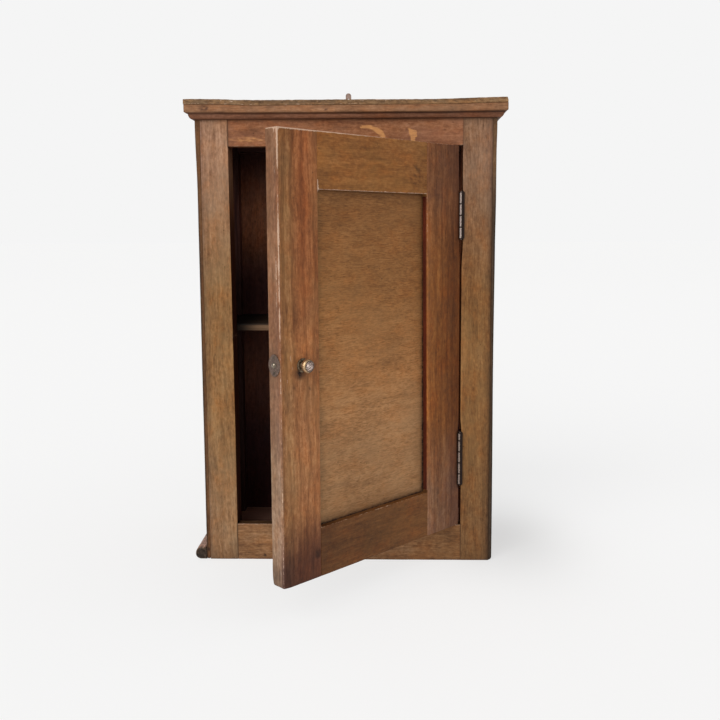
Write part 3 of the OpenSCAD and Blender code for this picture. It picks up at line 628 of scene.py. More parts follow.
def stile_dirt_and_shade(p, dist):
    x, y, z = p[:, 0], p[:, 1], p[:, 2]
    # painted shade: a dark line just under the crown; at the foot, grime with painted contact shade
    d = 0.30*np.exp(-np.clip(521.2 - z, 0, 99)/0.7)
    d = np.maximum(d, 0.35*np.exp(-z/3.5))
    d = np.maximum(d, 0.10*np.exp(-(XI - np.abs(x))/1.0))               # the joint with the side board
    joint = np.exp(-(np.abs(x) - XS)/0.8)*((z > OT - 2) | (z < RB + 1))  # the joints with the rails
    return np.maximum(d, 0.75*joint*(y < YF + 2))


def stile_wear(p, dist, wv):
    # left stile: small chip in the arris of the opening
    x, z = p[:, 0], p[:, 2]
    k = np.exp(-np.abs(x + XS)/1.2)*np.exp(-((z - 271)/4.0)**2)
    away = ((z > OT) | (z < RB))                                          # no bare wood in the joints
    return (wv + 0.5*k)*np.where(away & (np.abs(x) < XS + 3), 0.2, 1.0)


def stile_edge(p, R):
    x, y, z = p[:, 0], p[:, 1], p[:, 2]
    near = np.exp(-((x + XS)/2.5)**2)*np.exp(-((y - YF)/2.5)**2)
    R = R + 1.4*near*np.exp(-((z - 271)/3.5)**2)
    return R


def lean(z):
    """The opening's left side leans outward a little towards the top."""
    return 1.5*np.clip((z - 150)/330.0, 0, 1)


def stile_l_shape(v, p):
    out = v.copy()
    k = smooth(-XI + 4, -XS - 2, p[:, 0])
    out[:, 0] -= k*lean(p[:, 2])
    # the shallow strike the ball drops into when the door is shut
    d = np.hypot(p[:, 1] - (YF + 8.8), p[:, 2] - 266.0)
    out[:, 0] -= 1.5*smooth(10.5, 6.2, d)*smooth(-XS - 3.0, -XS - 0.6, p[:, 0])*smooth(YF + 0.8, YF + 3.0, p[:, 1])
    return out


def stile_r_shape(v, p):
    out = v.copy()
    z = p[:, 2]
    k = 1.25*smooth(160, 176, z)*smooth(381, 350, z) + 0.3*smooth(98, 90, z) + 0.55*smooth(438, 446, z)
    out[:, 0] -= k*smooth(XS + 6, XS, p[:, 0])
    return out


board("front_stile_left", (-XI, YF, 0), (-XS, YF + 28, HC), 2, m_stile, "cabinet", ["stile_left"], 11, r=0.45,
      tint_fn=stile_tint, dirt_and_shade_fn=stile_dirt_and_shade, wear_fn=stile_wear, edge_r=stile_edge, steps=[2.0, 5, 3], wear=0.25, shape=stile_l_shape)
board("front_stile_right", (XS, YF, 0), (XI, YF + 28, HC), 2, m_stile, "cabinet", ["stile_right"], 12, r=0.45,
      tint_fn=stile_tint, dirt_and_shade_fn=stile_dirt_and_shade, wear_fn=stile_wear, steps=[2.0, 5, 3], wear=0.25, shape=stile_r_shape)


def railt_tint(p, t):
    x, z = p[:, 0], p[:, 2]
    a = fbm(np.c_[x*0.016, p[:, 1]*0.03, z*0.10], 31, 4)[:, None]
    t = t*(1.0 + 0.30*a*np.array([0.8, 1.0, 1.1]))
    t = t*np.array([1.01, 0.98, 1.08])*(1 + 0.05*smooth(20, -90, x)[:, None])
    dark = blob(p, (0, 2), (-108, 507), (15, 3.0), 0.6)[:, None]
    return t*(1 - 0.28*dark*np.array([1.0, 1.1, 1.1]))


def railt_mark(p):
    x, z, y = p[:, 0], p[:, 2], p[:, 1]
    front = (y < YF + 2)
    m = 0.52*blob(p, (0, 2), (-112, 499.5), (26, 4.0), 0.7)
    # a bow of bare wood above the door, thin where it starts and heavier down its right leg
    n = fbm(np.c_[x*0.10, y*0.1, z*0.22], 35, 3, 0.6)
    best = np.full(len(x), 99.0)
    at = np.zeros(len(x))
    bow = ((16.5, 512.6, 1.2), (22.0, 513.6, 2.0), (28.0, 512.6, 2.3), (34.4, 510.0, 2.9), (40.1, 506.0, 3.4), (42.6, 501.5, 3.0), (43.6, 497.5, 1.2))
    for (ax, az, aw), (bx, bz, bw) in zip(bow[:-1], bow[1:]):
        u = np.clip(((x - ax)*(bx - ax) + (z - az)*(bz - az))/((bx - ax)**2 + (bz - az)**2), 0, 1)
        d = np.hypot(x - ax - u*(bx - ax), z - az - u*(bz - az))/(aw + u*(bw - aw))
        best = np.minimum(best, d)
    arc = smooth(1.45, 0.60, best)*(0.80 + 0.20*n)
    inside = smooth(1.0, 0.4, np.sqrt(((x - 25)/15.0)**2 + ((z - 499)/12.0)**2))*0.16
    m = np.maximum(m, np.maximum(arc, inside))
    # a wedge of it further right, its point down
    half = 2.3 + 3.6*np.clip((z - 494.5)/15.0, 0, 1.2)
    wedge = smooth(half + 0.9, half - 0.9, np.abs(x - 76.9))*smooth(490.5, 493.5, z)*smooth(513.0 - 0.30*(x - 71), 510.5 - 0.30*(x - 71), z)
    m = np.maximum(m, (0.76 + 0.14*n)*wedge)
    m = np.maximum(m, 0.35*blob(p, (0, 2), (-60, 500), (34, 3.0), 0.8))
    return m*front


def rail_dirt_and_shade(p, dist):
    x, y, z = p[:, 0], p[:, 1], p[:, 2]
    # painted shade: a dark line just under the crown; the joints with the stiles and a smudge are grime
    d = 0.30*np.exp(-np.clip(521.2 - z, 0, 99)/0.7)
    d = np.maximum(d, 0.80*np.exp(-(XS - np.abs(x))/0.8)*(y < YF + 2))
    sm = np.exp(-((x + 108)/9.0)**2 - ((z - 511)/2.4)**2)
    return np.maximum(d, 0.30*sm*(y < YF + 2))


def railt_shape(v, p):
    out = v.copy()
    out[:, 0] -= 1.5*smooth(-XS + 3, -XS, p[:, 0])
    return out


board("frame_top_rail", (-XS, YF, OT), (XS, YF + 12, HC), 0, m_rail, "cabinet", ["frame_rail_top"], 13, r=0.45,
      tint_fn=railt_tint, mark_fn=railt_mark, dirt_and_shade_fn=rail_dirt_and_shade, steps=[2.0, 4, 1.8], shape=railt_shape, wear=0.12,
      wear_fn=lambda p, d, w: w + 0.50*np.exp(-np.abs(p[:, 2] - OT)/0.8)*np.exp(-np.abs(p[:, 1] - YF)/0.9))


def railb_dirt_and_shade(p, dist):
    x, z, y = p[:, 0], p[:, 2], p[:, 1]
    front = y < YF + 1.5
    d = 0.9*blob(p, (0, 2), (-101.3, 5.2), (1.3, 1.3), 0.4)*front
    # at the foot, grime with painted contact shade
    d = np.maximum(d, 0.30*np.exp(-z/2.5))
    return np.maximum(d, 0.70*np.exp(-(XS - np.abs(x))/0.8)*front)


def railb_tint(p, t):
    x = p[:, 0]
    # the rail's top face is darker: grime with painted shade
    t = t*np.array([0.96, 0.86, 0.83])*(1 - 0.66*smooth(RB - 1.4, RB - 0.4, p[:, 2])*smooth(YF + 0.8, YF + 2.6, p[:, 1]))[:, None]
    return t*(1 - smooth(40, 134, x)[:, None]*np.array([0.26, 0.32, 0.43]))


board("frame_bottom_rail", (-XS, YF, 0), (XS, YF + 12, RB), 0, m_railb, "cabinet", ["frame_rail_bottom"], 14, r=0.5,
      dirt_and_shade_fn=railb_dirt_and_shade, steps=[2.4, 4, 1.8], tint_fn=railb_tint, wear=0.15,
      wear_fn=lambda p, d, w: w + 0.60*np.exp(-np.abs(p[:, 2] - RB)/0.9)*np.exp(-np.abs(p[:, 1] - YF)/1.1))


def side_edge(p, R):
    z = p[:, 2]
    return R + 1.3*np.exp(-z/4.5)


def side_tint(p, t):
    x, y, z = p[:, 0], p[:, 1], p[:, 2]
    front = smooth(YF + 3.0, YF + 0.8, y)
    top = smooth(380, 500, z)
    a = fbm(np.c_[x*0.1, y*0.02, z*0.02], 151, 4)[:, None]
    t = t*(1 + 0.22*a)
    u = np.clip((np.abs(x) - XI)/4.5, 0, 1)
    k = np.where(x < 0, -0.12 + 0.84*u, 0.62 + 0.24*u)*(1 - 0.60*top)
    t = t*(1 - (front*k)[:, None]*np.array([1.0, 0.96, 0.86]))*(1 - ((x < 0)*front)[:, None]*np.array([0.16, 0.30, 0.40]))
    # the inner faces have the dark stain of the inside
    inside = smooth(XI + 1.2, XI + 0.4, np.abs(x))*smooth(YF + 10, YF + 14, y)
    t = t*(1 - inside[:, None]*np.array([0.58, 0.68, 0.60]))
    return t*np.array([0.88, 0.86, 0.86])


def side_dirt_and_shade(p, d):
    x, y, z = p[:, 0], p[:, 1], p[:, 2]
    joint = np.exp(-(np.abs(x) - XI)/0.8)*(y < YF + 1.5)
    hole = 0.92*smooth(2.0, 0.9, np.hypot(x + 169.9, z - 11.7))*(y < YF + 1.5)
    # at the foot, grime with painted contact shade
    return np.maximum(hole, np.maximum(0.08*joint, 0.35*np.exp(-z/5.0)))


def side_l_shape(v, p):
    out = v.copy()
    k = smooth(-XI, -XO, p[:, 0])
    out[:, 0] -= 1.3*k*smooth(440, 515, p[:, 2])*smooth(YI, YF + 40, p[:, 1])
    return out


def side_r_shape(v, p):
    out = v.copy()
    z = p[:, 2]
    k = smooth(XI, XO, p[:, 0])
    d = 0.45*smooth(430, 380, z) + 0.60*np.exp(-((z - 240)/95.0)**2) - 0.5*smooth(480, 515, z) + 0.25
    h = np.clip(z, 0, 4.2)
    d = d + 0.82*(4.2 - np.sqrt(np.clip(4.2**2 - (4.2 - h)**2, 0, None)))*smooth(YF + 40, YF + 10, p[:, 1])
    out[:, 0] -= d*k
    return out


board("side_board_left", (-XO, YF, 0), (-XI, YI, HC), 2, m_side, "cabinet", ["side_board_left"], 15, r=0.8, chip=0.5,
      wear=0.12, steps=[4, 6, 4], edge_r=side_edge, face=(0, 1), tint_fn=side_tint, dirt_and_shade_fn=side_dirt_and_shade, shape=side_l_shape)
board("side_board_right", (XI, YF, 0), (XO, YI, HC), 2, m_side, "cabinet", ["side_board_right"], 16, r=0.8, chip=0.5,
      wear=0.12, steps=[4, 6, 4], edge_r=side_edge, face=(0, 1), tint_fn=side_tint, dirt_and_shade_fn=side_dirt_and_shade, shape=side_r_shape)


def back_tint(p, t):
    # the inner face has the dark stain of the inside, the outer one is bare
    k = smooth(YI + 1.5, YI + 0.5, p[:, 1])[:, None]
    z = p[:, 2]
    # painted light: a little lighter half way up each compartment
    g = (0.97*np.exp(-((z - 416)/50.0)**2) + 0.24*np.exp(-((z - 215)/60.0)**2) + 0.04)[:, None]
    n = (1 + 0.35*fbm(np.c_[p[:, 0]*0.05, z*0*1.0, z*0.01], 171, 3))[:, None]
    c = (np.array([0.15, 0.065, 0.20]) + g*np.array([2.30, 1.64, 1.60]))*n
    return t*(1 - k) + t*k*c


board("back_board", (-XO, YI, 0), (XO, YB, HC), 2, m_back, "cabinet", ["back_panel"], 17, r=0.7, chip=0.6, wear=0.3, steps=[6, 1.5, 8], warp=0.25,
      tint_fn=back_tint, wear_fn=lambda p, d, w: w*(p[:, 1] > YI + 2))


def sag(x):
    """The top board and the fascia have sunk a little between their ends."""
    return 1.6*smooth(-176, -92, x)*(1 - 0.85*smooth(100, 186, x))


def top_shape(v, p):
    # worn thinner along the front, its arris rough
    x, y, z = p[:, 0], p[:, 1], p[:, 2]
    up = smooth(HC + 0.5, HC + TT, z)
    fine_n = fbm(np.c_[x*0.20, y*0.1, z*0.3], 77, 4, 0.6)
    back = np.clip((YF + 34 - y)/45.5, 0, 1)
    out = v.copy()
    drop = sag(x)*1.12 + 0.35*np.exp(-((x - 80)/40.0)**2)
    out[:, 2] -= up*drop*back
    lip = smooth(YF - 1, YF - 8, y)
    out[:, 2] -= (1 - up)*sag(x)*lip
    out[:, 2] -= up*0.45*np.clip(fine_n + 0.2, 0, 1)*smooth(YF - 5, YF - 11, y)
    out[:, 1] += 0.35*np.clip(fine_n, 0, 1)*smooth(YF - 9, YF - 11.5, y)
    # the right end is rounded off and a little short
    out[:, 0] -= smooth(XO + 6, XO + 11.5, x)*(0.6 + 0.9*up*up)
    return out


def top_dirt(p, dist):
    x, y, z = p[:, 0], p[:, 1], p[:, 2]
    front = smooth(YF - 9.5, YF - 11, y)
    n = fbm(np.c_[x*0.06, y*0.05, z*0.35], 61, 4, 0.65)
    upper = smooth(HC + 2.2, HC + 4.6, z)
    d = front*(0.16*upper + 0.36*smooth(0.0, 0.5, n)*(0.4 + 0.6*upper)*smooth(-60, 100, x + 60))
    n2 = fbm(np.c_[x*0.42, y*0.2, z*0.75], 63, 3, 0.6)
    d = np.maximum(d, 0.52*front*smooth(0.08, 0.42, n2)*smooth(HC + 1.2, HC + 2.4, z))
    return np.maximum(d*smooth(HC + 0.8, HC + 2.2, z), 0.08*np.exp(-(z - HC)/0.5)*front)


def top_wear(p, dist, w):
    x, y, z = p[:, 0], p[:, 1], p[:, 2]
    front = smooth(YF - 9.5, YF - 11, y)
    n3 = fbm(np.c_[x*0.38, y*0.2, z*0.8], 64, 3, 0.6)
    return w + 0.70*front*smooth(0.15, 0.50, n3)*smooth(HC + 2.0, HC + 4.0, z) + 0.50*np.exp(-np.abs(z - HC - 0.8)/0.9)*front*smooth(90, 20, x)


board("top_board", (-XO - 11.5, YF - 11.5, HC), (XO + 11.5, YB, HC + TT), 0, m_top, "cabinet", ["top_board"], 18, r=0.7, r_var=0.6,
      chip=0.5, chip_scale=0.2, wear=0.15, steps=[1.4, 6, 1.0], shape=top_shape, dirt_and_shade_fn=top_dirt, wear_fn=top_wear, warp=0.2)


# ------------------------------------------------------------------ crown moulding
def crown_profile():
    """(projection, height above the moulding's foot), closed, corners eased."""
    cp, ch, oh = 11.0, 16.0, 5.3
    pts = [(0, 0)]
    for a in range(0, 91, 9):
        t = math.radians(a)
        pts.append((2.3 + (cp - 6.4)*math.sin(t), oh*(1 - math.cos(t))))
    pts += [(cp, oh + 2.3), (cp, ch), (0, ch)]
    pts = np.array(pts)
    out = []
    n = len(pts)
    for i in range(n):                               # ease each sharp corner with a small arc
        a, b, c = pts[i - 1], pts[i], pts[(i + 1) % n]
        d0, d1 = a - b, c - b
        l0, l1 = np.linalg.norm(d0), np.linalg.norm(d1)
        cosang = np.dot(d0, d1)/(l0*l1)
        if cosang > -0.93 and b[0] > 0.1:
            r = min(0.6, l0*0.4, l1*0.4)
            for t in (0.0, 0.33, 0.67, 1.0):
                q0, q1 = b + d0/l0*r, b + d1/l1*r
                out.append((1 - t)**2*q0 + 2*t*(1 - t)*b + t*t*q1)
        else:
            out.append(b)
    # close rows on the long flats, so that wear has points to work on
    res = []
    for i in range(len(out)):
        a, b = np.array(out[i]), np.array(out[(i + 1) % len(out)])
        res.append(a)
        l = np.linalg.norm(b - a)
        if l > 2.2 and not (a[0] < 0.1 and b[0] < 0.1):
            k = int(l//1.6)
            for j in range(1, k):
                res.append(a + (b - a)*j/k)
    return np.array(res)


def crown(name, node, side, seed, dents):
    prof = crown_profile()
    m = len(prof)
    if side == 0:
        L = 2*XO
        st = ticks(L, 2.6, (0.0, 0.8, 2.0, 4.0))
    else:
        L = YB - YF
        st = ticks(L, 4.0, (0.0, 0.8, 2.0, 4.0))
    t = st/L
    V, GR, DR, WE, TI = [], [], [], [], []
    for i in range(len(st)):
        for j in range(m):
            pr, h = prof[j]
            if side == 0:
                x = -XO - pr + t[i]*(2*XO + 2*pr)
                V.append((x, YF - pr, HC - 16.0 + h - sag(np.array([x]))[0]*h/16.0))
            else:
                y = YF - pr + t[i]*(YB - YF + pr)
                V.append((side*(XO + pr), y, HC - 16.0 + h))
    V = np.array(V)
    pr = np.tile(prof[:, 0], len(st))
    h = np.tile(prof[:, 1], len(st))
    along = V[:, 0] if side == 0 else V[:, 1]
    # uneven wear pulls the outer points in a little
    n1 = fbm(np.c_[along*0.07, h*0.25, pr*0.2], seed, 3)
    n2 = fbm(np.c_[along*0.02, h*0.1, pr*0.1], seed + 3, 2)
    pull = (0.10 + 0.22*np.clip(n1, 0, 1) + 0.12*(n2 + 1))*(pr > 1.0)
    lower_arris = np.exp(-((h - 7.9)/0.8)**2)*(pr > 9.5)
    lip = np.exp(-((h - 1.4)/1.0)**2)*(pr > 3.5)
    pull = pull + 0.35*np.clip(n1 + 0.1, 0, 1)*lower_arris
    for (a, hh, ra, rh, dep) in dents:
        pull = pull + dep*np.exp(-((along - a)/ra)**2 - ((h - hh)/rh)**2)*(pr > 1)
    if side == 0:
        V[:, 1] += pull
    else:
        V[:, 0] -= side*pull
    gr = np.c_[along + seed*37.0, h + seed*11.0, pr + seed*5.0]
    wear = 0.16*lower_arris*(1 + n2) + 0.22*lip*(0.7 + n2)
    right = (0.75 + 0.35*smooth(-40, 120, along)) if side == 0 else 0.9
    # painted shade: the soffit under the fascia is darker; the foot is grime with painted shade
    soffit = np.exp(-((h - 6.1)/0.75)**2)*((pr > 6.3) & (pr < 10.9))
    foot = np.exp(-(h/0.55)**2)*(pr > 1.0)
    dirt_and_shade = 0.85*right*soffit + 0.70*right*foot + 0.10*smooth(9.4, 7.8, h)*(pr > 10) + 0.10*np.exp(-((15.9 - h)/0.5)**2)*(pr > 9)
    tint = np.ones((len(V), 3))*(1 + 0.16*fbm(np.c_[along*0.03, h*0.10, pr*0.1], seed + 8, 4))[:, None]
    # painted shade: the members below the fascia, which face down, are darker
    low = (1 - smooth(6.6, 7.4, h))[:, None]
    tint = tint*np.array([1.12, 0.97, 1.0])*(1 - low*np.array([0.26, 0.37, 0.33]))
    if side == 0:
        tint = tint*np.array([1.03, 1.05, 1.10])*(1 - 0.15*smooth(40, 110, along))[:, None]
        # knots: a dark ring round a lighter middle
        for (kx, kh, rx, rh, a) in ((-160.5, 11.3, 4.6, 2.5, 0.85), (-22.0, 11.2, 2.6, 1.5, 0.90)):
            d = np.sqrt(((along - kx)/rx)**2 + ((h - kh)/rh)**2)
            ring = np.exp(-((d - 0.75)/0.32)**2)*(pr > 9)
            tint = tint*(1 - a*ring[:, None]*np.array([0.85, 0.9, 0.85]))
        # grain swept round the second knot
        sw = np.exp(-((along + 33)/9.0)**2 - ((h - 12.5 - 0.10*(along + 33))/0.7)**2)*(pr > 9)
        dirt_and_shade = np.maximum(dirt_and_shade, 0.45*sw)
        sm = np.exp(-((along + 18)/5.0)**2 - ((h - 15.2)/0.9)**2)
        dirt_and_shade = np.maximum(dirt_and_shade, 0.5*sm)
    F = []
    n = len(st)
    for i in range(n - 1):
        for j in range(m):
            a, b = i*m + j, i*m + (j + 1) % m
            c, d = (i + 1)*m + (j + 1) % m, (i + 1)*m + j
            F.append((a, b, c, d))
    F.append(tuple(reversed(range(m))))
    F.append(tuple((n - 1)*m + j for j in range(m)))
    o = make_object(name, V, F, m_crown, {"gr": gr, "wear": np.clip(wear, 0, 2), "tint": tint, "mark": np.zeros(len(V)), "dirt_and_shade": np.clip(dirt_and_shade, 0, 1)})
    bm_fix(o)
    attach(o, "cabinet")
    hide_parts(node)
    return o


def bm_fix(o):
    import bmesh
    bm = bmesh.new()
    bm.from_mesh(o.data)
    bmesh.ops.recalc_face_normals(bm, faces=bm.faces)
    bm.to_mesh(o.data)
    bm.free()


crown("crown_moulding_front", "crown_front", 0, 41, [(-160.5, 11.3, 2.6, 1.5, 0.35), (120, 7.9, 9, 1.3, 0.4), (-60, 7.9, 14, 1.1, 0.25)])
crown("crown_moulding_left", "crown_left", -1, 42, [])
crown("crown_moulding_right", "crown_right", 1, 43, [])


# ------------------------------------------------------------------ batten at the foot of the left side
def batten():
    br = 7.0
    pts = []
    for a in range(0, 181, 10):
        t = math.radians(a)
        pts.append((-br - br*math.sin(t), br - br*math.cos(t)))
    pts += [(-3.5, 2*br), (0.0, 2*br), (0.0, 10.0), (0.0, 5.0), (0.0, 0.0), (-3.5, 0.0)]
    prof = np.array(pts)
    m = len(prof)
    st = ticks(YI - YF, 3.0, (0.0, 0.3, 0.8, 1.6, 3.0))
    n = len(st)
    V = []
    for s_ in st:
        endk = max(0.0, 1 - s_/1.6)**2
        for j in range(m):
            w, h = prof[j]
            k = 1 - 0.06*endk
            V.append((-XO + w*k if w < -0.01 else -XO, YF + s_, br + (h - br)*(1 - 0.06*endk)))
    V = np.array(V)
    c = np.array([-br - XO, br])
    nz = fbm(V*np.array([0.25, 0.06, 0.25]), 91, 3)
    out = np.clip(nz, -0.1, 1)*0.6
    w = V[:, 0] < -XO - 0.5
    dx, dz = V[:, 0] - c[0], V[:, 2] - c[1]
    V[:, 0] -= np.where(w, dx/br*out, 0)
    V[:, 2] -= np.where(w & (V[:, 2] > 2.0), dz/br*out, 0)
    V[:, 2] = np.clip(V[:, 2], 0, 2*br)
    F = []
    for i in range(n - 1):
        for j in range(m):
            F.append((i*m + j, i*m + (j + 1) % m, (i + 1)*m + (j + 1) % m, (i + 1)*m + j))
    # the front end as rings of points, so that its end grain has relief
    prev = list(range(m))
    verts = [tuple(v) for v in V]
    cen = V[:m].mean(0)
    for k in range(1, 8):
        sc = 1 - k/8.0
        cur = []
        for j in range(m):
            q = cen + (V[j] - cen)*sc
            q[1] = YF + 0.05 + 0.45*(0.5 + 0.5*_hash(np.int64(j), np.int64(k), np.int64(3), 17))
            cur.append(len(verts))
            verts.append(tuple(q))
        for j in range(m):
            F.append((prev[(j + 1) % m], prev[j], cur[j], cur[(j + 1) % m]))
        prev = cur
    F.append(tuple(prev))
    F.append(tuple((n - 1)*m + j for j in range(m)))
    V = np.array(verts)
    end = np.exp(-(V[:, 1] - YF)/1.0)
    gr = np.c_[V[:, 1]*1.0, V[:, 0] + 300, V[:, 2]*1.0 + 90]
    tint = np.ones((len(V), 3))
    tint *= (1 + 0.45*fbm(V*0.45, 92, 4, 0.7))[:, None]
    isend = smooth(YF + 1.6, YF + 0.7, V[:, 1])[:, None]
    ring = smooth(5.2, 6.8, np.hypot(V[:, 0] - c[0], V[:, 2] - c[1]))[:, None]
    tint = tint*(1 - isend) * np.array([2.5, 2.15, 2.15]) + tint*isend*(0.42 + 0.5*ring)*np.array([0.95, 0.92, 0.85])
    # a bored hole by the case, seen as a dark spot
    hole = smooth(1.6, 0.9, np.hypot(V[:, 0] + XO + 1.8, V[:, 2] - 6.6))*end
    dirt_and_shade = 0.55*smooth(-0.15, 0.45, fbm(V*0.6, 93, 3))*end + 0.75*np.exp(-(-XO - V[:, 0])/0.9) + 0.95*hole
    wear = 0.30*np.exp(-np.abs(V[:, 1] - YF)/0.5)
    o = make_object("foot_batten", V, F, m_batten, {"gr": gr, "wear": wear, "tint": tint, "mark": np.zeros(len(V)), "dirt_and_shade": np.clip(dirt_and_shade, 0, 1)})
    bm_fix(o)
    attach(o, "cabinet")
    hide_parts("base_batten")


batten()


# ------------------------------------------------------------------ door
def door_sag(x, z):
    """The free edge has dropped about a millimetre, as the door's joints gave."""
    return (0.8 + 0.4*smooth(47, 85, z))*(DX1 - x)/264.0


def door_shape(v, p):
    # the hinge stile's inner edge is not quite upright, and the rails' ends follow it
    out = v.copy()
    x, z = p[:, 0], p[:, 2]
    k = smooth(SX1 - 12, SX1 - 0.2, x)*smooth(SX1 + 14, SX1 + 0.2, x)
    out[:, 0] -= 1.3*k*np.clip((z - 265)/170.0, -1.1, 1.1)
    # the hinge edge swells a little between the hinges
    out[:, 0] += smooth(DX1 - 9, DX1 - 0.5, x)*(1.2*smooth(160, 170, z)*smooth(390, 360, z) + 1.7*smooth(98, 90, z) - 1.4*smooth(436, 444, z))
    out[:, 2] -= door_sag(x, z)
    return out


def free_tint(p, t):
    x, y, z = p[:, 0] - DX0, p[:, 1], p[:, 2]         # x from the free edge
    front = smooth(YF + 4, YF + 0.5, y)
    n = fbm(np.c_[p[:, 0]*0.03, y*0.03, z*0.008], 51, 3)
    # reddish band down the middle of the stile
    band = np.exp(-((x - 30 - 4*n)/12.0)**2)*smooth(295, 345, z)
    t = t*(1 + (np.array([1.13, 0.97, 0.84]) - 1)*front[:, None])
    t = t*(1 + band[:, None]*np.array([0.08, -0.08, -0.14])*front[:, None])
    olive = np.exp(-((x - 9)/9.0)**2)
    t = t*(1 + olive[:, None]*np.array([-0.05, 0.10, 0.16])*front[:, None])
    mid = np.exp(-((z - 175)/85.0)**2)*smooth(1, 8, x)
    t = t*(1 + mid[:, None]*np.array([0.32, 0.44, 0.62])*front[:, None])
    foot = smooth(125, 60, z)
    t = t*(1 - foot[:, None]*np.array([0.64, 0.715, 0.64])*front[:, None])
    pale = (np.exp(-((z - 281)/21.0)**2)*smooth(5, 14, x)*smooth(46, 34, x))[:, None]
    t = t*(1 + pale*np.array([0.37, 0.33, 0.30])*front[:, None])
    t = t*(1 - (smooth(470, 500, z)*smooth(26, 8, x))[:, None]*np.array([0.22, 0.32, 0.42])*front[:, None])
    t = t*(1 - (smooth(118, 90, z)*smooth(20, 34, x)*smooth(55, 75, z))[:, None]*np.array([0.22, 0.26, 0.24])*front[:, None])
    t = t*(1 - (smooth(80, 58, z)*smooth(16, 5, x))[:, None]*np.array([0.34, 0.32, 0.26]))
    # knot low down on the inner side
    kx, kz = 44.5, 70.5
    d = np.sqrt(((x - kx)/4.2)**2 + ((z - kz)/5.2)**2)
    t = t*(1 - 0.5*np.exp(-((d - 0.7)/0.35)**2)[:, None]*front[:, None])
    t = t*(1 - 0.62*np.exp(-(d/0.45)**2)[:, None]*front[:, None])
    for (px, pz, rx, rz) in ((16.3, 244.2, 0.9, 1.3), (36.5, 241.5, 0.9, 1.2), (31.0, 247.0, 0.6, 2.0), (22.0, 205.0, 0.5, 2.5)):
        t = t*(1 - 0.70*np.exp(-((x - px)/rx)**2 - ((z - pz)/rz)**2)[:, None]*front[:, None])
    # long dark shakes low down
    for (sx, z0, z1, a) in ((9.0, 60, 150, 0.35), (13.5, 95, 190, 0.25), (30.0, 52, 110, 0.30), (38.5, 50, 92, 0.35), (24.0, 150, 260, 0.18)):
        wob = 1.2*np.sin(z*0.045 + sx)
        t = t*(1 - (a*np.exp(-((x - sx - wob)/0.55)**2)*smooth(z0, z0 + 14, z)*smooth(z1, z1 - 14, z))[:, None]*front[:, None])
    # the worn edge face: greyish and paler
    edge = smooth(2.5, 0.3, x)
    t = t*(1 + edge[:, None]*np.array([-0.02, 0.0, 0.26]))
    strip = edge*smooth(YF + 8.5, YF + 5.0, y)
    t = t*(1 + strip[:, None]*np.array([0.10, 0.13, 0.20]))
    t = t*(1 + (edge*smooth(300, 100, z))[:, None]*np.array([0.28, 0.70, 1.12]))
    return t


def free_wear(p, d, w):
    x, y, z = p[:, 0] - DX0, p[:, 1] - YF, p[:, 2]
    up = smooth(285, 335, z)
    w = w + (0.45 + 0.95*up)*np.exp(-np.abs(x)/0.9)*np.exp(-np.abs(y)/1.2)*np.clip(0.72 + 1.0*fbm(np.c_[z*0.08, x*0, y*0], 5, 3), 0.1, 1.2)
    # short pale streaks and a speck on the face
    for (sx, sz, rx, rz, a) in ((12.2, 272.5, 0.8, 6.0, 1.0), (15.0, 262.0, 0.5, 4.0, 0.7), (18.1, 393.2, 0.7, 1.6, 1.1), (43.9, 261.6, 0.6, 3.0, 0.9), (34.5, 270.0, 0.5, 4.5, 0.6),
                                (20.4, 283.0, 0.5, 5.0, 0.6), (8.5, 252.0, 0.5, 4.0, 0.6), (17.0, 389.0, 0.5, 1.2, 0.7)):
        w = w + a*np.exp(-((x - sx)/rx)**2 - ((z - sz)/rz)**2)*(y < 1)
    # a second pale line along the middle of the edge's front half
    w = w + 0.75*up*np.exp(-np.abs(y - 4.2 - 0.5*fbm(np.c_[z*0.03, x*0, y*0], 6, 2))/0.6)*(x < 1)*smooth(-0.25, 0.25, fbm(np.c_[z*0.04, x*0, y*0], 7, 2))
    w = w + 1.30*np.exp(-np.abs(z - DZ1)/1.3)*np.exp(-np.abs(y)/1.8)
    w = w + 0.90*np.exp(-np.abs(z - DZ1)/1.5)*np.exp(-np.abs(x)/3.0)
    return w


def free_dirt_and_knob_shadow(p, d):
    x, y, z = p[:, 0] - DX0, p[:, 1] - YF, p[:, 2]
    # handling grime round the knob and the catch, and the knob's painted shadow, dark below it towards the free edge
    k = 0.10*np.exp(-(((x - 25)/14)**2 + ((z - 256)/14)**2))*(y < 2)
    k = np.maximum(k, 0.97*np.exp(-(((x - 24.2)/6.2)**2 + ((z - 257.5)/6.4)**2)**1.5)*(y < 2))
    c = 0.40*np.exp(-(((y - 8.8)/9)**2 + ((z - 266)/16)**2))*(x < 2)
    # a crack in the edge near the foot
    cr = 0.85*np.exp(-((y - 6.2 - 0.02*(z - 60))/0.45)**2)*smooth(47, 50, z)*smooth(64, 56, z)*(x < 1.5)
    return np.maximum(np.maximum(k, c), np.maximum(cr, 0.20*np.exp(-(z - DZ0)/5.0)))


def free_edge_r(p, R):
    x, y, z = p[:, 0] - DX0, p[:, 1] - YF, p[:, 2]
    corner = np.exp(-((x)/6.0)**2)*np.exp(-((z - DZ0)/6.0)**2)
    return R + 2.2*corner


board("door_free_stile", (DX0, YF, DZ0), (SX0, DYB, DZ1), 2, m_doorst, "door", ["door_stile_free"], 21, r=0.75, chip=0.7,
      tint_fn=free_tint, wear_fn=free_wear, dirt_and_shade_fn=free_dirt_and_knob_shadow, edge_r=free_edge_r, steps=[2.2, 2.4, 3.0], matrix=TURN, wear=0.25, shape=door_shape)


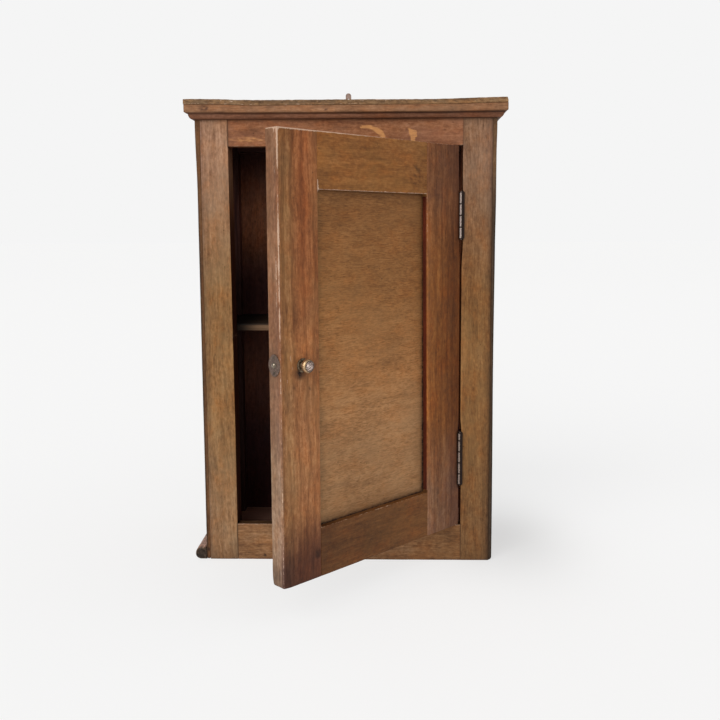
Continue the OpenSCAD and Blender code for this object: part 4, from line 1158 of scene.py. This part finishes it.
def hinge_tint(p, t):
    x, y, z = p[:, 0] - SX1, p[:, 1], p[:, 2]
    front = smooth(YF + 4, YF + 0.5, y)
    t = t*(1 + (np.array([0.87, 0.66, 0.36]) - 1)*front[:, None])
    t = t*(1 - smooth(20, 50, x)[:, None]*np.array([0.34, 0.40, 0.40])*front[:, None])
    left = np.exp(-(x/7.0)**2)*(0.45 + 0.55*smooth(470, 400, z))*(1 - 0.45*smooth(125, 85, z))
    t = t*(1 + left[:, None]*np.array([0.60, 0.70, 0.82])*front[:, None])
    # the recess's side is painted dark red, as shade with grime, and the arris by the hinges is rubbed
    inner = smooth(1.0, 0.2, x)*smooth(YF + 0.8, YF + 2.0, y)
    t = t*(1 - inner[:, None]*np.array([0.45, 0.78, 0.80]))
    t = t*(1 + (np.exp(-np.abs(p[:, 0] - DX1)/0.9)*np.exp(-np.abs(y - YF)/1.5))[:, None]*np.array([0.75, 0.95, 1.10]))
    t = t*(1 + smooth(330, 470, z)[:, None]*np.array([-0.13, 0.00, 0.80])*front[:, None])
    t = t*(1 + smooth(190, 90, z)[:, None]*np.array([-0.03, 0.32, 1.90])*front[:, None])
    return t


def hinge_wear(p, d, w):
    x, y, z = p[:, 0] - SX1, p[:, 1] - YF, p[:, 2]
    w = w + 0.10*np.exp(-np.abs(x)/1.0)*np.exp(-np.abs(y)/1.0)*((z > RZ0) & (z < RZ1))*(1 + 2.2*smooth(345, 400, z))
    w = w + 0.3*np.exp(-np.abs(z - DZ1)/1.0)*np.exp(-np.abs(y)/1.6)
    return w


def hinge_dirt_and_shade(p, d):
    x, y, z = p[:, 0] - SX1, p[:, 1] - YF, p[:, 2]
    # painted shade with grime: the recess's side, and the wood beside the hinge barrels by the gap
    inner = smooth(1.0, 0.2, x)*smooth(0.8, 2.5, y)*((z > RZ0) & (z < RZ1))
    beside = np.exp(-(np.clip(DX1 - p[:, 0], 0, 99)/2.3)**2)*((z > 90) & (z < 160) | (z > 383) & (z < 441))*(y < 2.5)
    return np.maximum(0.30*inner, 0.88*beside)


board("door_hinge_stile", (SX1, YF, DZ0), (DX1, DYB, DZ1), 2, m_doorhs, "door", ["door_stile_hinge"], 22, r=0.6, chip=0.3,
      tint_fn=hinge_tint, wear_fn=hinge_wear, dirt_and_shade_fn=hinge_dirt_and_shade, steps=[2.4, 4, 3.0], matrix=TURN, wear=0.22, shape=door_shape)


def fillets(z, up):
    """Small hollow corners where the inner arris turns from rail to stile."""
    def add(v, faces, gr, wv, tint, mark, dirt_and_shade):
        rad, y0, y1 = 3.2, YF + 0.25, YF + RECESS
        base = len(v)
        V, F = [], []
        for s, xc in ((1, SX0), (-1, SX1)):
            arc = [(xc + s*rad - s*rad*math.cos(a), z + up*(rad - rad*math.sin(a))) for a in np.linspace(0, math.pi/2, 7)]
            ring = [(xc - s*0.2, z - up*0.2), (xc - s*0.2, arc[0][1])] + arc[0:] + [(arc[-1][0], z - up*0.2)]
            # drop the doubled first arc point
            ring = [(xc - s*0.2, z - up*0.2), (xc - s*0.2, z + up*rad)] + arc[1:] + [(xc + s*rad, z - up*0.2)]
            b = base + len(V)
            k = len(ring)
            for yy in (y0, y0 + 0.6, y1):
                for (a, c) in ring:
                    V.append((a, yy, c))
            F.append(tuple(b + i for i in range(k)))
            for l in (0, 1):
                for i in range(k):
                    F.append((b + l*k + i, b + l*k + (i + 1) % k, b + (l + 1)*k + (i + 1) % k, b + (l + 1)*k + i))
        V = np.array(V)
        V = door_shape(V, V.copy())
        v = np.r_[v, V]
        faces = list(faces) + F
        gr = np.r_[gr, np.c_[V[:, 0], V[:, 2], V[:, 1]] + gr[0]]
        we = (0.75 if up < 0 else 0.30)*np.exp(-np.abs(V[:, 1] - y0)/0.8)*np.where(V[:, 0] < 0, 1.0, 0.5)
        wv = np.r_[wv, we]
        tint = np.r_[tint, np.ones((len(V), 3))*tint.mean(0)]
        mark = np.r_[mark, np.zeros(len(V))]
        dirt_and_shade = np.r_[dirt_and_shade, 0.25*np.ones(len(V))]
        return v, faces, gr, wv, tint, mark, dirt_and_shade
    return add


def railt2_tint(p, t):
    x, z = p[:, 0], p[:, 2]
    t = t*(1 - smooth(30, 77, x)[:, None]*np.array([0.12, 0.10, 0.06]))
    n = fbm(np.c_[x*0.02, p[:, 1]*0.05, z*0.05], 71, 4)[:, None]
    t = t*(1 + 0.16*n)
    return t*np.array([1.04, 0.815, 0.545])


def railt2_dirt(p, d):
    x, z, y = p[:, 0], p[:, 2], p[:, 1]
    n = fbm(np.c_[x*0.22, y*0.1, z*0.22], 73, 3, 0.7)
    patch = blob(p, (0, 2), (58, 462), (11, 26), 0.5)*smooth(0.05, 0.45, n)*0.5
    return patch*(y < YF + 1)


def railt2_wear(p, d, w):
    y, z = p[:, 1] - YF, p[:, 2]
    w = w + 0.70*np.exp(-np.abs(z - RZ1)/0.9)*np.exp(-np.abs(y)/1.0)
    w = w + 0.95*np.exp(-np.abs(p[:, 0] - SX0 - 0.3)/0.9)*smooth(RZ1 + 12, RZ1 + 8, z)*(y < 1)
    w = w + 1.15*np.exp(-np.abs(z - DZ1)/1.1)*np.exp(-np.abs(y)/1.6)*(0.35 + 0.65*smooth(20, -70, p[:, 0]))
    return w


o = board("door_top_rail", (SX0, YF, RZ1), (SX1, DYB, DZ1), 0, m_doorrt, "door", ["door_rail_top"], 23, r=0.55, chip=0.3,
          tint_fn=railt2_tint, dirt_and_shade_fn=railt2_dirt, wear_fn=railt2_wear, steps=[2.4, 4, 2.0], matrix=TURN, wear=0.2, shape=door_shape, extra=fillets(RZ1, -1))
bm_fix(o)


def railb2_tint(p, t):
    x, z = p[:, 0], p[:, 2]
    t = t*np.array([0.48, 0.36, 0.24])*(1 + 0.35*smooth(-10, 60, x)[:, None])
    t = t*(1 - smooth(-40, -82, x)[:, None]*np.array([0.20, 0.22, 0.22]))
    return t*(1 + 0.16*fbm(np.c_[x*0.02, p[:, 1]*0.05, z*0.06], 81, 4)[:, None])


o = board("door_bottom_rail", (SX0, YF, DZ0), (SX1, DYB, RZ0), 0, m_doorrt, "door", ["door_rail_bottom"], 24, r=0.55, chip=0.3,
          tint_fn=railb2_tint, steps=[2.4, 4, 2.0], matrix=TURN, wear=0.2, shape=door_shape, extra=fillets(RZ0, 1),
          wear_fn=lambda p, d, w: w + 0.34*np.exp(-np.abs(p[:, 2] - RZ0)/1.2)*np.exp(-np.abs(p[:, 1] - YF)/1.6))
bm_fix(o)


def panel_tint(p, t):
    x, y, z = p[:, 0], p[:, 1], p[:, 2]
    n = fbm(np.c_[x*0.012, y*0.02, z*0.008], 101, 4)[:, None]
    t = t*(1 + 0.20*n)
    t = t*np.array([1.01, 0.85, 0.645])
    t = t*(1 + smooth(400, 290, z)[:, None]*np.array([0.09, 0.10, 0.07]))
    low = smooth(360, 220, z)[:, None]
    t = t*(1 + low*np.array([0.16, 0.22, 0.42]))
    t = t*(1 + smooth(250, 170, z)[:, None]*np.array([0.07, 0.18, 0.38]))
    t = t*(1 - smooth(15, 0, x - SX0)[:, None]*np.array([0.05, 0.0, 0.0]))
    return t


def panel_dirt_and_shade(p, d):
    x, y, z = p[:, 0], p[:, 1], p[:, 2]
    # grime and painted shade in the recess: darker along the panel's edges, most on the hinge side and at the foot
    e = np.minimum(np.minimum(x - SX0, SX1 - x)*1.0, np.minimum(z - RZ0, RZ1 - z))
    a = 0.55*np.exp(-np.clip(e, 0, 99)/1.6) + 0.16*np.exp(-np.clip(e, 0, 99)/9.0)
    right = 0.20*np.exp(-np.clip(SX1 - x, 0, 99)/10.0) + 0.30*np.exp(-np.clip(SX1 - x, 0, 99)/3.0)
    low = 0.25*np.exp(-np.clip(z - RZ0, 0, 99)/8.0)
    return a + right + low


board("door_field", (SX0 - 2.0, YF + RECESS, RZ0 - 2.0), (SX1 + 2.0, YF + RECESS + 5, RZ1 + 2.0), 0, m_panel, "door", ["door_panel"], 25,
      r=0.2, r_var=0.2, tint_fn=panel_tint, dirt_and_shade_fn=panel_dirt_and_shade, steps=[2.6, 3, 2.6], matrix=TURN, wear=0.0, warp=0.35)


def give(mat, *names, bevel=0.0, segs=2):
    for n in names:
        ob = NODES[n]
        ob.data.materials.clear()
        ob.data.materials.append(mat)
        if bevel:
            b = ob.modifiers.new("eased", 'BEVEL')
            b.width = bevel*MM
            b.segments = segs
            b.limit_method = 'ANGLE'
            b.angle_limit = math.radians(35)


give(POST, "back_post_left", "back_post_right", bevel=0.6)
give(IN_X, "back_rail", bevel=0.6)
give(FLOOR_IN, "bottom_board", bevel=0.6)
give(SHELF, "shelf", bevel=0.9, segs=3)
give(IN_Y, "shelf_cleat_left", "shelf_cleat_right", bevel=0.6)
give(IRON, "hanger_screws", "side_nails", "top_nails", "back_nails", "batten_nails", "catch_pins", "catch_spring", "knob_stud", "knob_nut",
     "hinge_upper_case_screws", "hinge_upper_door_screws", "hinge_lower_case_screws", "hinge_lower_door_screws")
give(STRAP, "hanger_strap", bevel=0.35)
give(BRASS, "catch_barrel")
give(KNOB, "knob_head")
give(ROSETTE, "knob_rosette")
give(CATCH, "catch_plate", bevel=0.25)
give(BALL, "catch_ball")
give(HINGE_UP, "hinge_upper_case_leaf", "hinge_upper_door_leaf", "hinge_upper_pin", bevel=0.4)
give(HINGE_LO, "hinge_lower_case_leaf", "hinge_lower_door_leaf", "hinge_lower_pin", bevel=0.4)


# ------------------------------------------------------------------ floor, light, camera
def stage_mat():
    m = NT("pale_floor")
    m.t.nodes.remove(m.bsdf)
    d = m.t.nodes.new("ShaderNodeBsdfDiffuse")
    d.inputs[0].default_value = (0.28, 0.28, 0.28, 1)
    e = m.t.nodes.new("ShaderNodeEmission")
    e.inputs[0].default_value = (1, 1, 1, 1)
    tc = m.t.nodes.new("ShaderNodeTexCoord")
    x, y, z = m.sep(tc.outputs["Object"])
    # painted shadow: the floor's glow is dimmed in a soft patch to the right of the case, and a very little further
    # back
    u = m.math('DIVIDE', m.math('SUBTRACT', x, 0.20), 0.075)
    v = m.math('DIVIDE', m.math('SUBTRACT', y, -0.01), 0.125)
    g = m.math('EXPONENT', m.math('MULTIPLY', m.math('ADD', m.math('MULTIPLY', u, u), m.math('MULTIPLY', v, v)), -1.0))
    g = m.math('MULTIPLY_ADD', g, 0.150, m.step(y, 1.0, 9.0, 0.0, 0.0075))
    m.t.links.new(m.math('MULTIPLY_ADD', g, -1.0, 0.682), e.inputs[1])
    a = m.t.nodes.new("ShaderNodeAddShader")
    m.t.links.new(d.outputs[0], a.inputs[0])
    m.t.links.new(e.outputs[0], a.inputs[1])
    m.t.links.new(a.outputs[0], m.out.inputs[0])
    return m.mat


me = bpy.data.meshes.new("floor")
S = 60.0
me.from_pydata([(-S, -S, 0), (S, -S, 0), (S, S, 0), (-S, S, 0)], [], [(0, 1, 2, 3)])
floor = bpy.data.objects.new("floor", me)
bpy.context.scene.collection.objects.link(floor)
me.materials.append(stage_mat())

sc = bpy.context.scene
world = bpy.data.worlds.new("studio")
sc.world = world
world.use_nodes = True
wt = world.node_tree
wt.nodes.clear()
wo = wt.nodes.new("ShaderNodeOutputWorld")
b1 = wt.nodes.new("ShaderNodeBackground")
b2 = wt.nodes.new("ShaderNodeBackground")
b1.inputs[0].default_value = (1.0, 1.0, 1.0, 1)
b1.inputs[1].default_value = 0.46
b2.inputs[0].default_value = (0.913, 0.913, 0.913, 1)
b2.inputs[1].default_value = 1.0
lp = wt.nodes.new("ShaderNodeLightPath")
mx = wt.nodes.new("ShaderNodeMixShader")
wt.links.new(lp.outputs["Is Camera Ray"], mx.inputs[0])
wt.links.new(b1.outputs[0], mx.inputs[1])
wt.links.new(b2.outputs[0], mx.inputs[2])
wt.links.new(mx.outputs[0], wo.inputs[0])


def soft_sun(name, azimuth, elevation, strength, wide, color=(1, 1, 1)):
    """A wide soft light from the front: azimuth in degrees to the left of straight ahead."""
    l = bpy.data.lights.new(name, 'SUN')
    l.energy = strength
    l.angle = math.radians(wide)
    l.color = color
    ob = bpy.data.objects.new(name, l)
    bpy.context.scene.collection.objects.link(ob)
    a, e = math.radians(azimuth), math.radians(elevation)
    to_light = Vector((-math.sin(a)*math.cos(e), -math.cos(a)*math.cos(e), math.sin(e)))
    ob.rotation_euler = (-to_light).to_track_quat('-Z', 'Y').to_euler()
    return ob


soft_sun("key", 30, 33, 1.9, 55, (1.0, 0.985, 0.96))
soft_sun("fill", -50, 25, 0.6, 80, (0.98, 0.99, 1.0))

cam_data = bpy.data.cameras.new("camera")
cam = bpy.data.objects.new("camera", cam_data)
bpy.context.scene.collection.objects.link(cam)
cam_data.sensor_width = 36.0
cam_data.lens = 835.0*36.0/720.0
cam_data.shift_x = (360 - 369.69)/720
cam_data.shift_y = (329.04 - 360)/720
cam_data.clip_start = 0.01
cam_data.clip_end = 200
yaw, pit, rol = map(math.radians, (1.343, 6.305, -0.232))
F = Vector((-math.sin(yaw)*math.cos(pit), math.cos(yaw)*math.cos(pit), -math.sin(pit)))
R0 = Vector((math.cos(yaw), math.sin(yaw), 0))
U0 = R0.cross(F)
R1 = math.cos(rol)*R0 + math.sin(rol)*U0
U1 = -math.sin(rol)*R0 + math.cos(rol)*U0
M = Matrix((R1, U1, -F)).transposed().to_4x4()
M.translation = Vector((49.09, -1055.53, 388.14))*MM
cam.matrix_world = M
sc.camera = cam
sc.view_settings.view_transform = 'Standard'
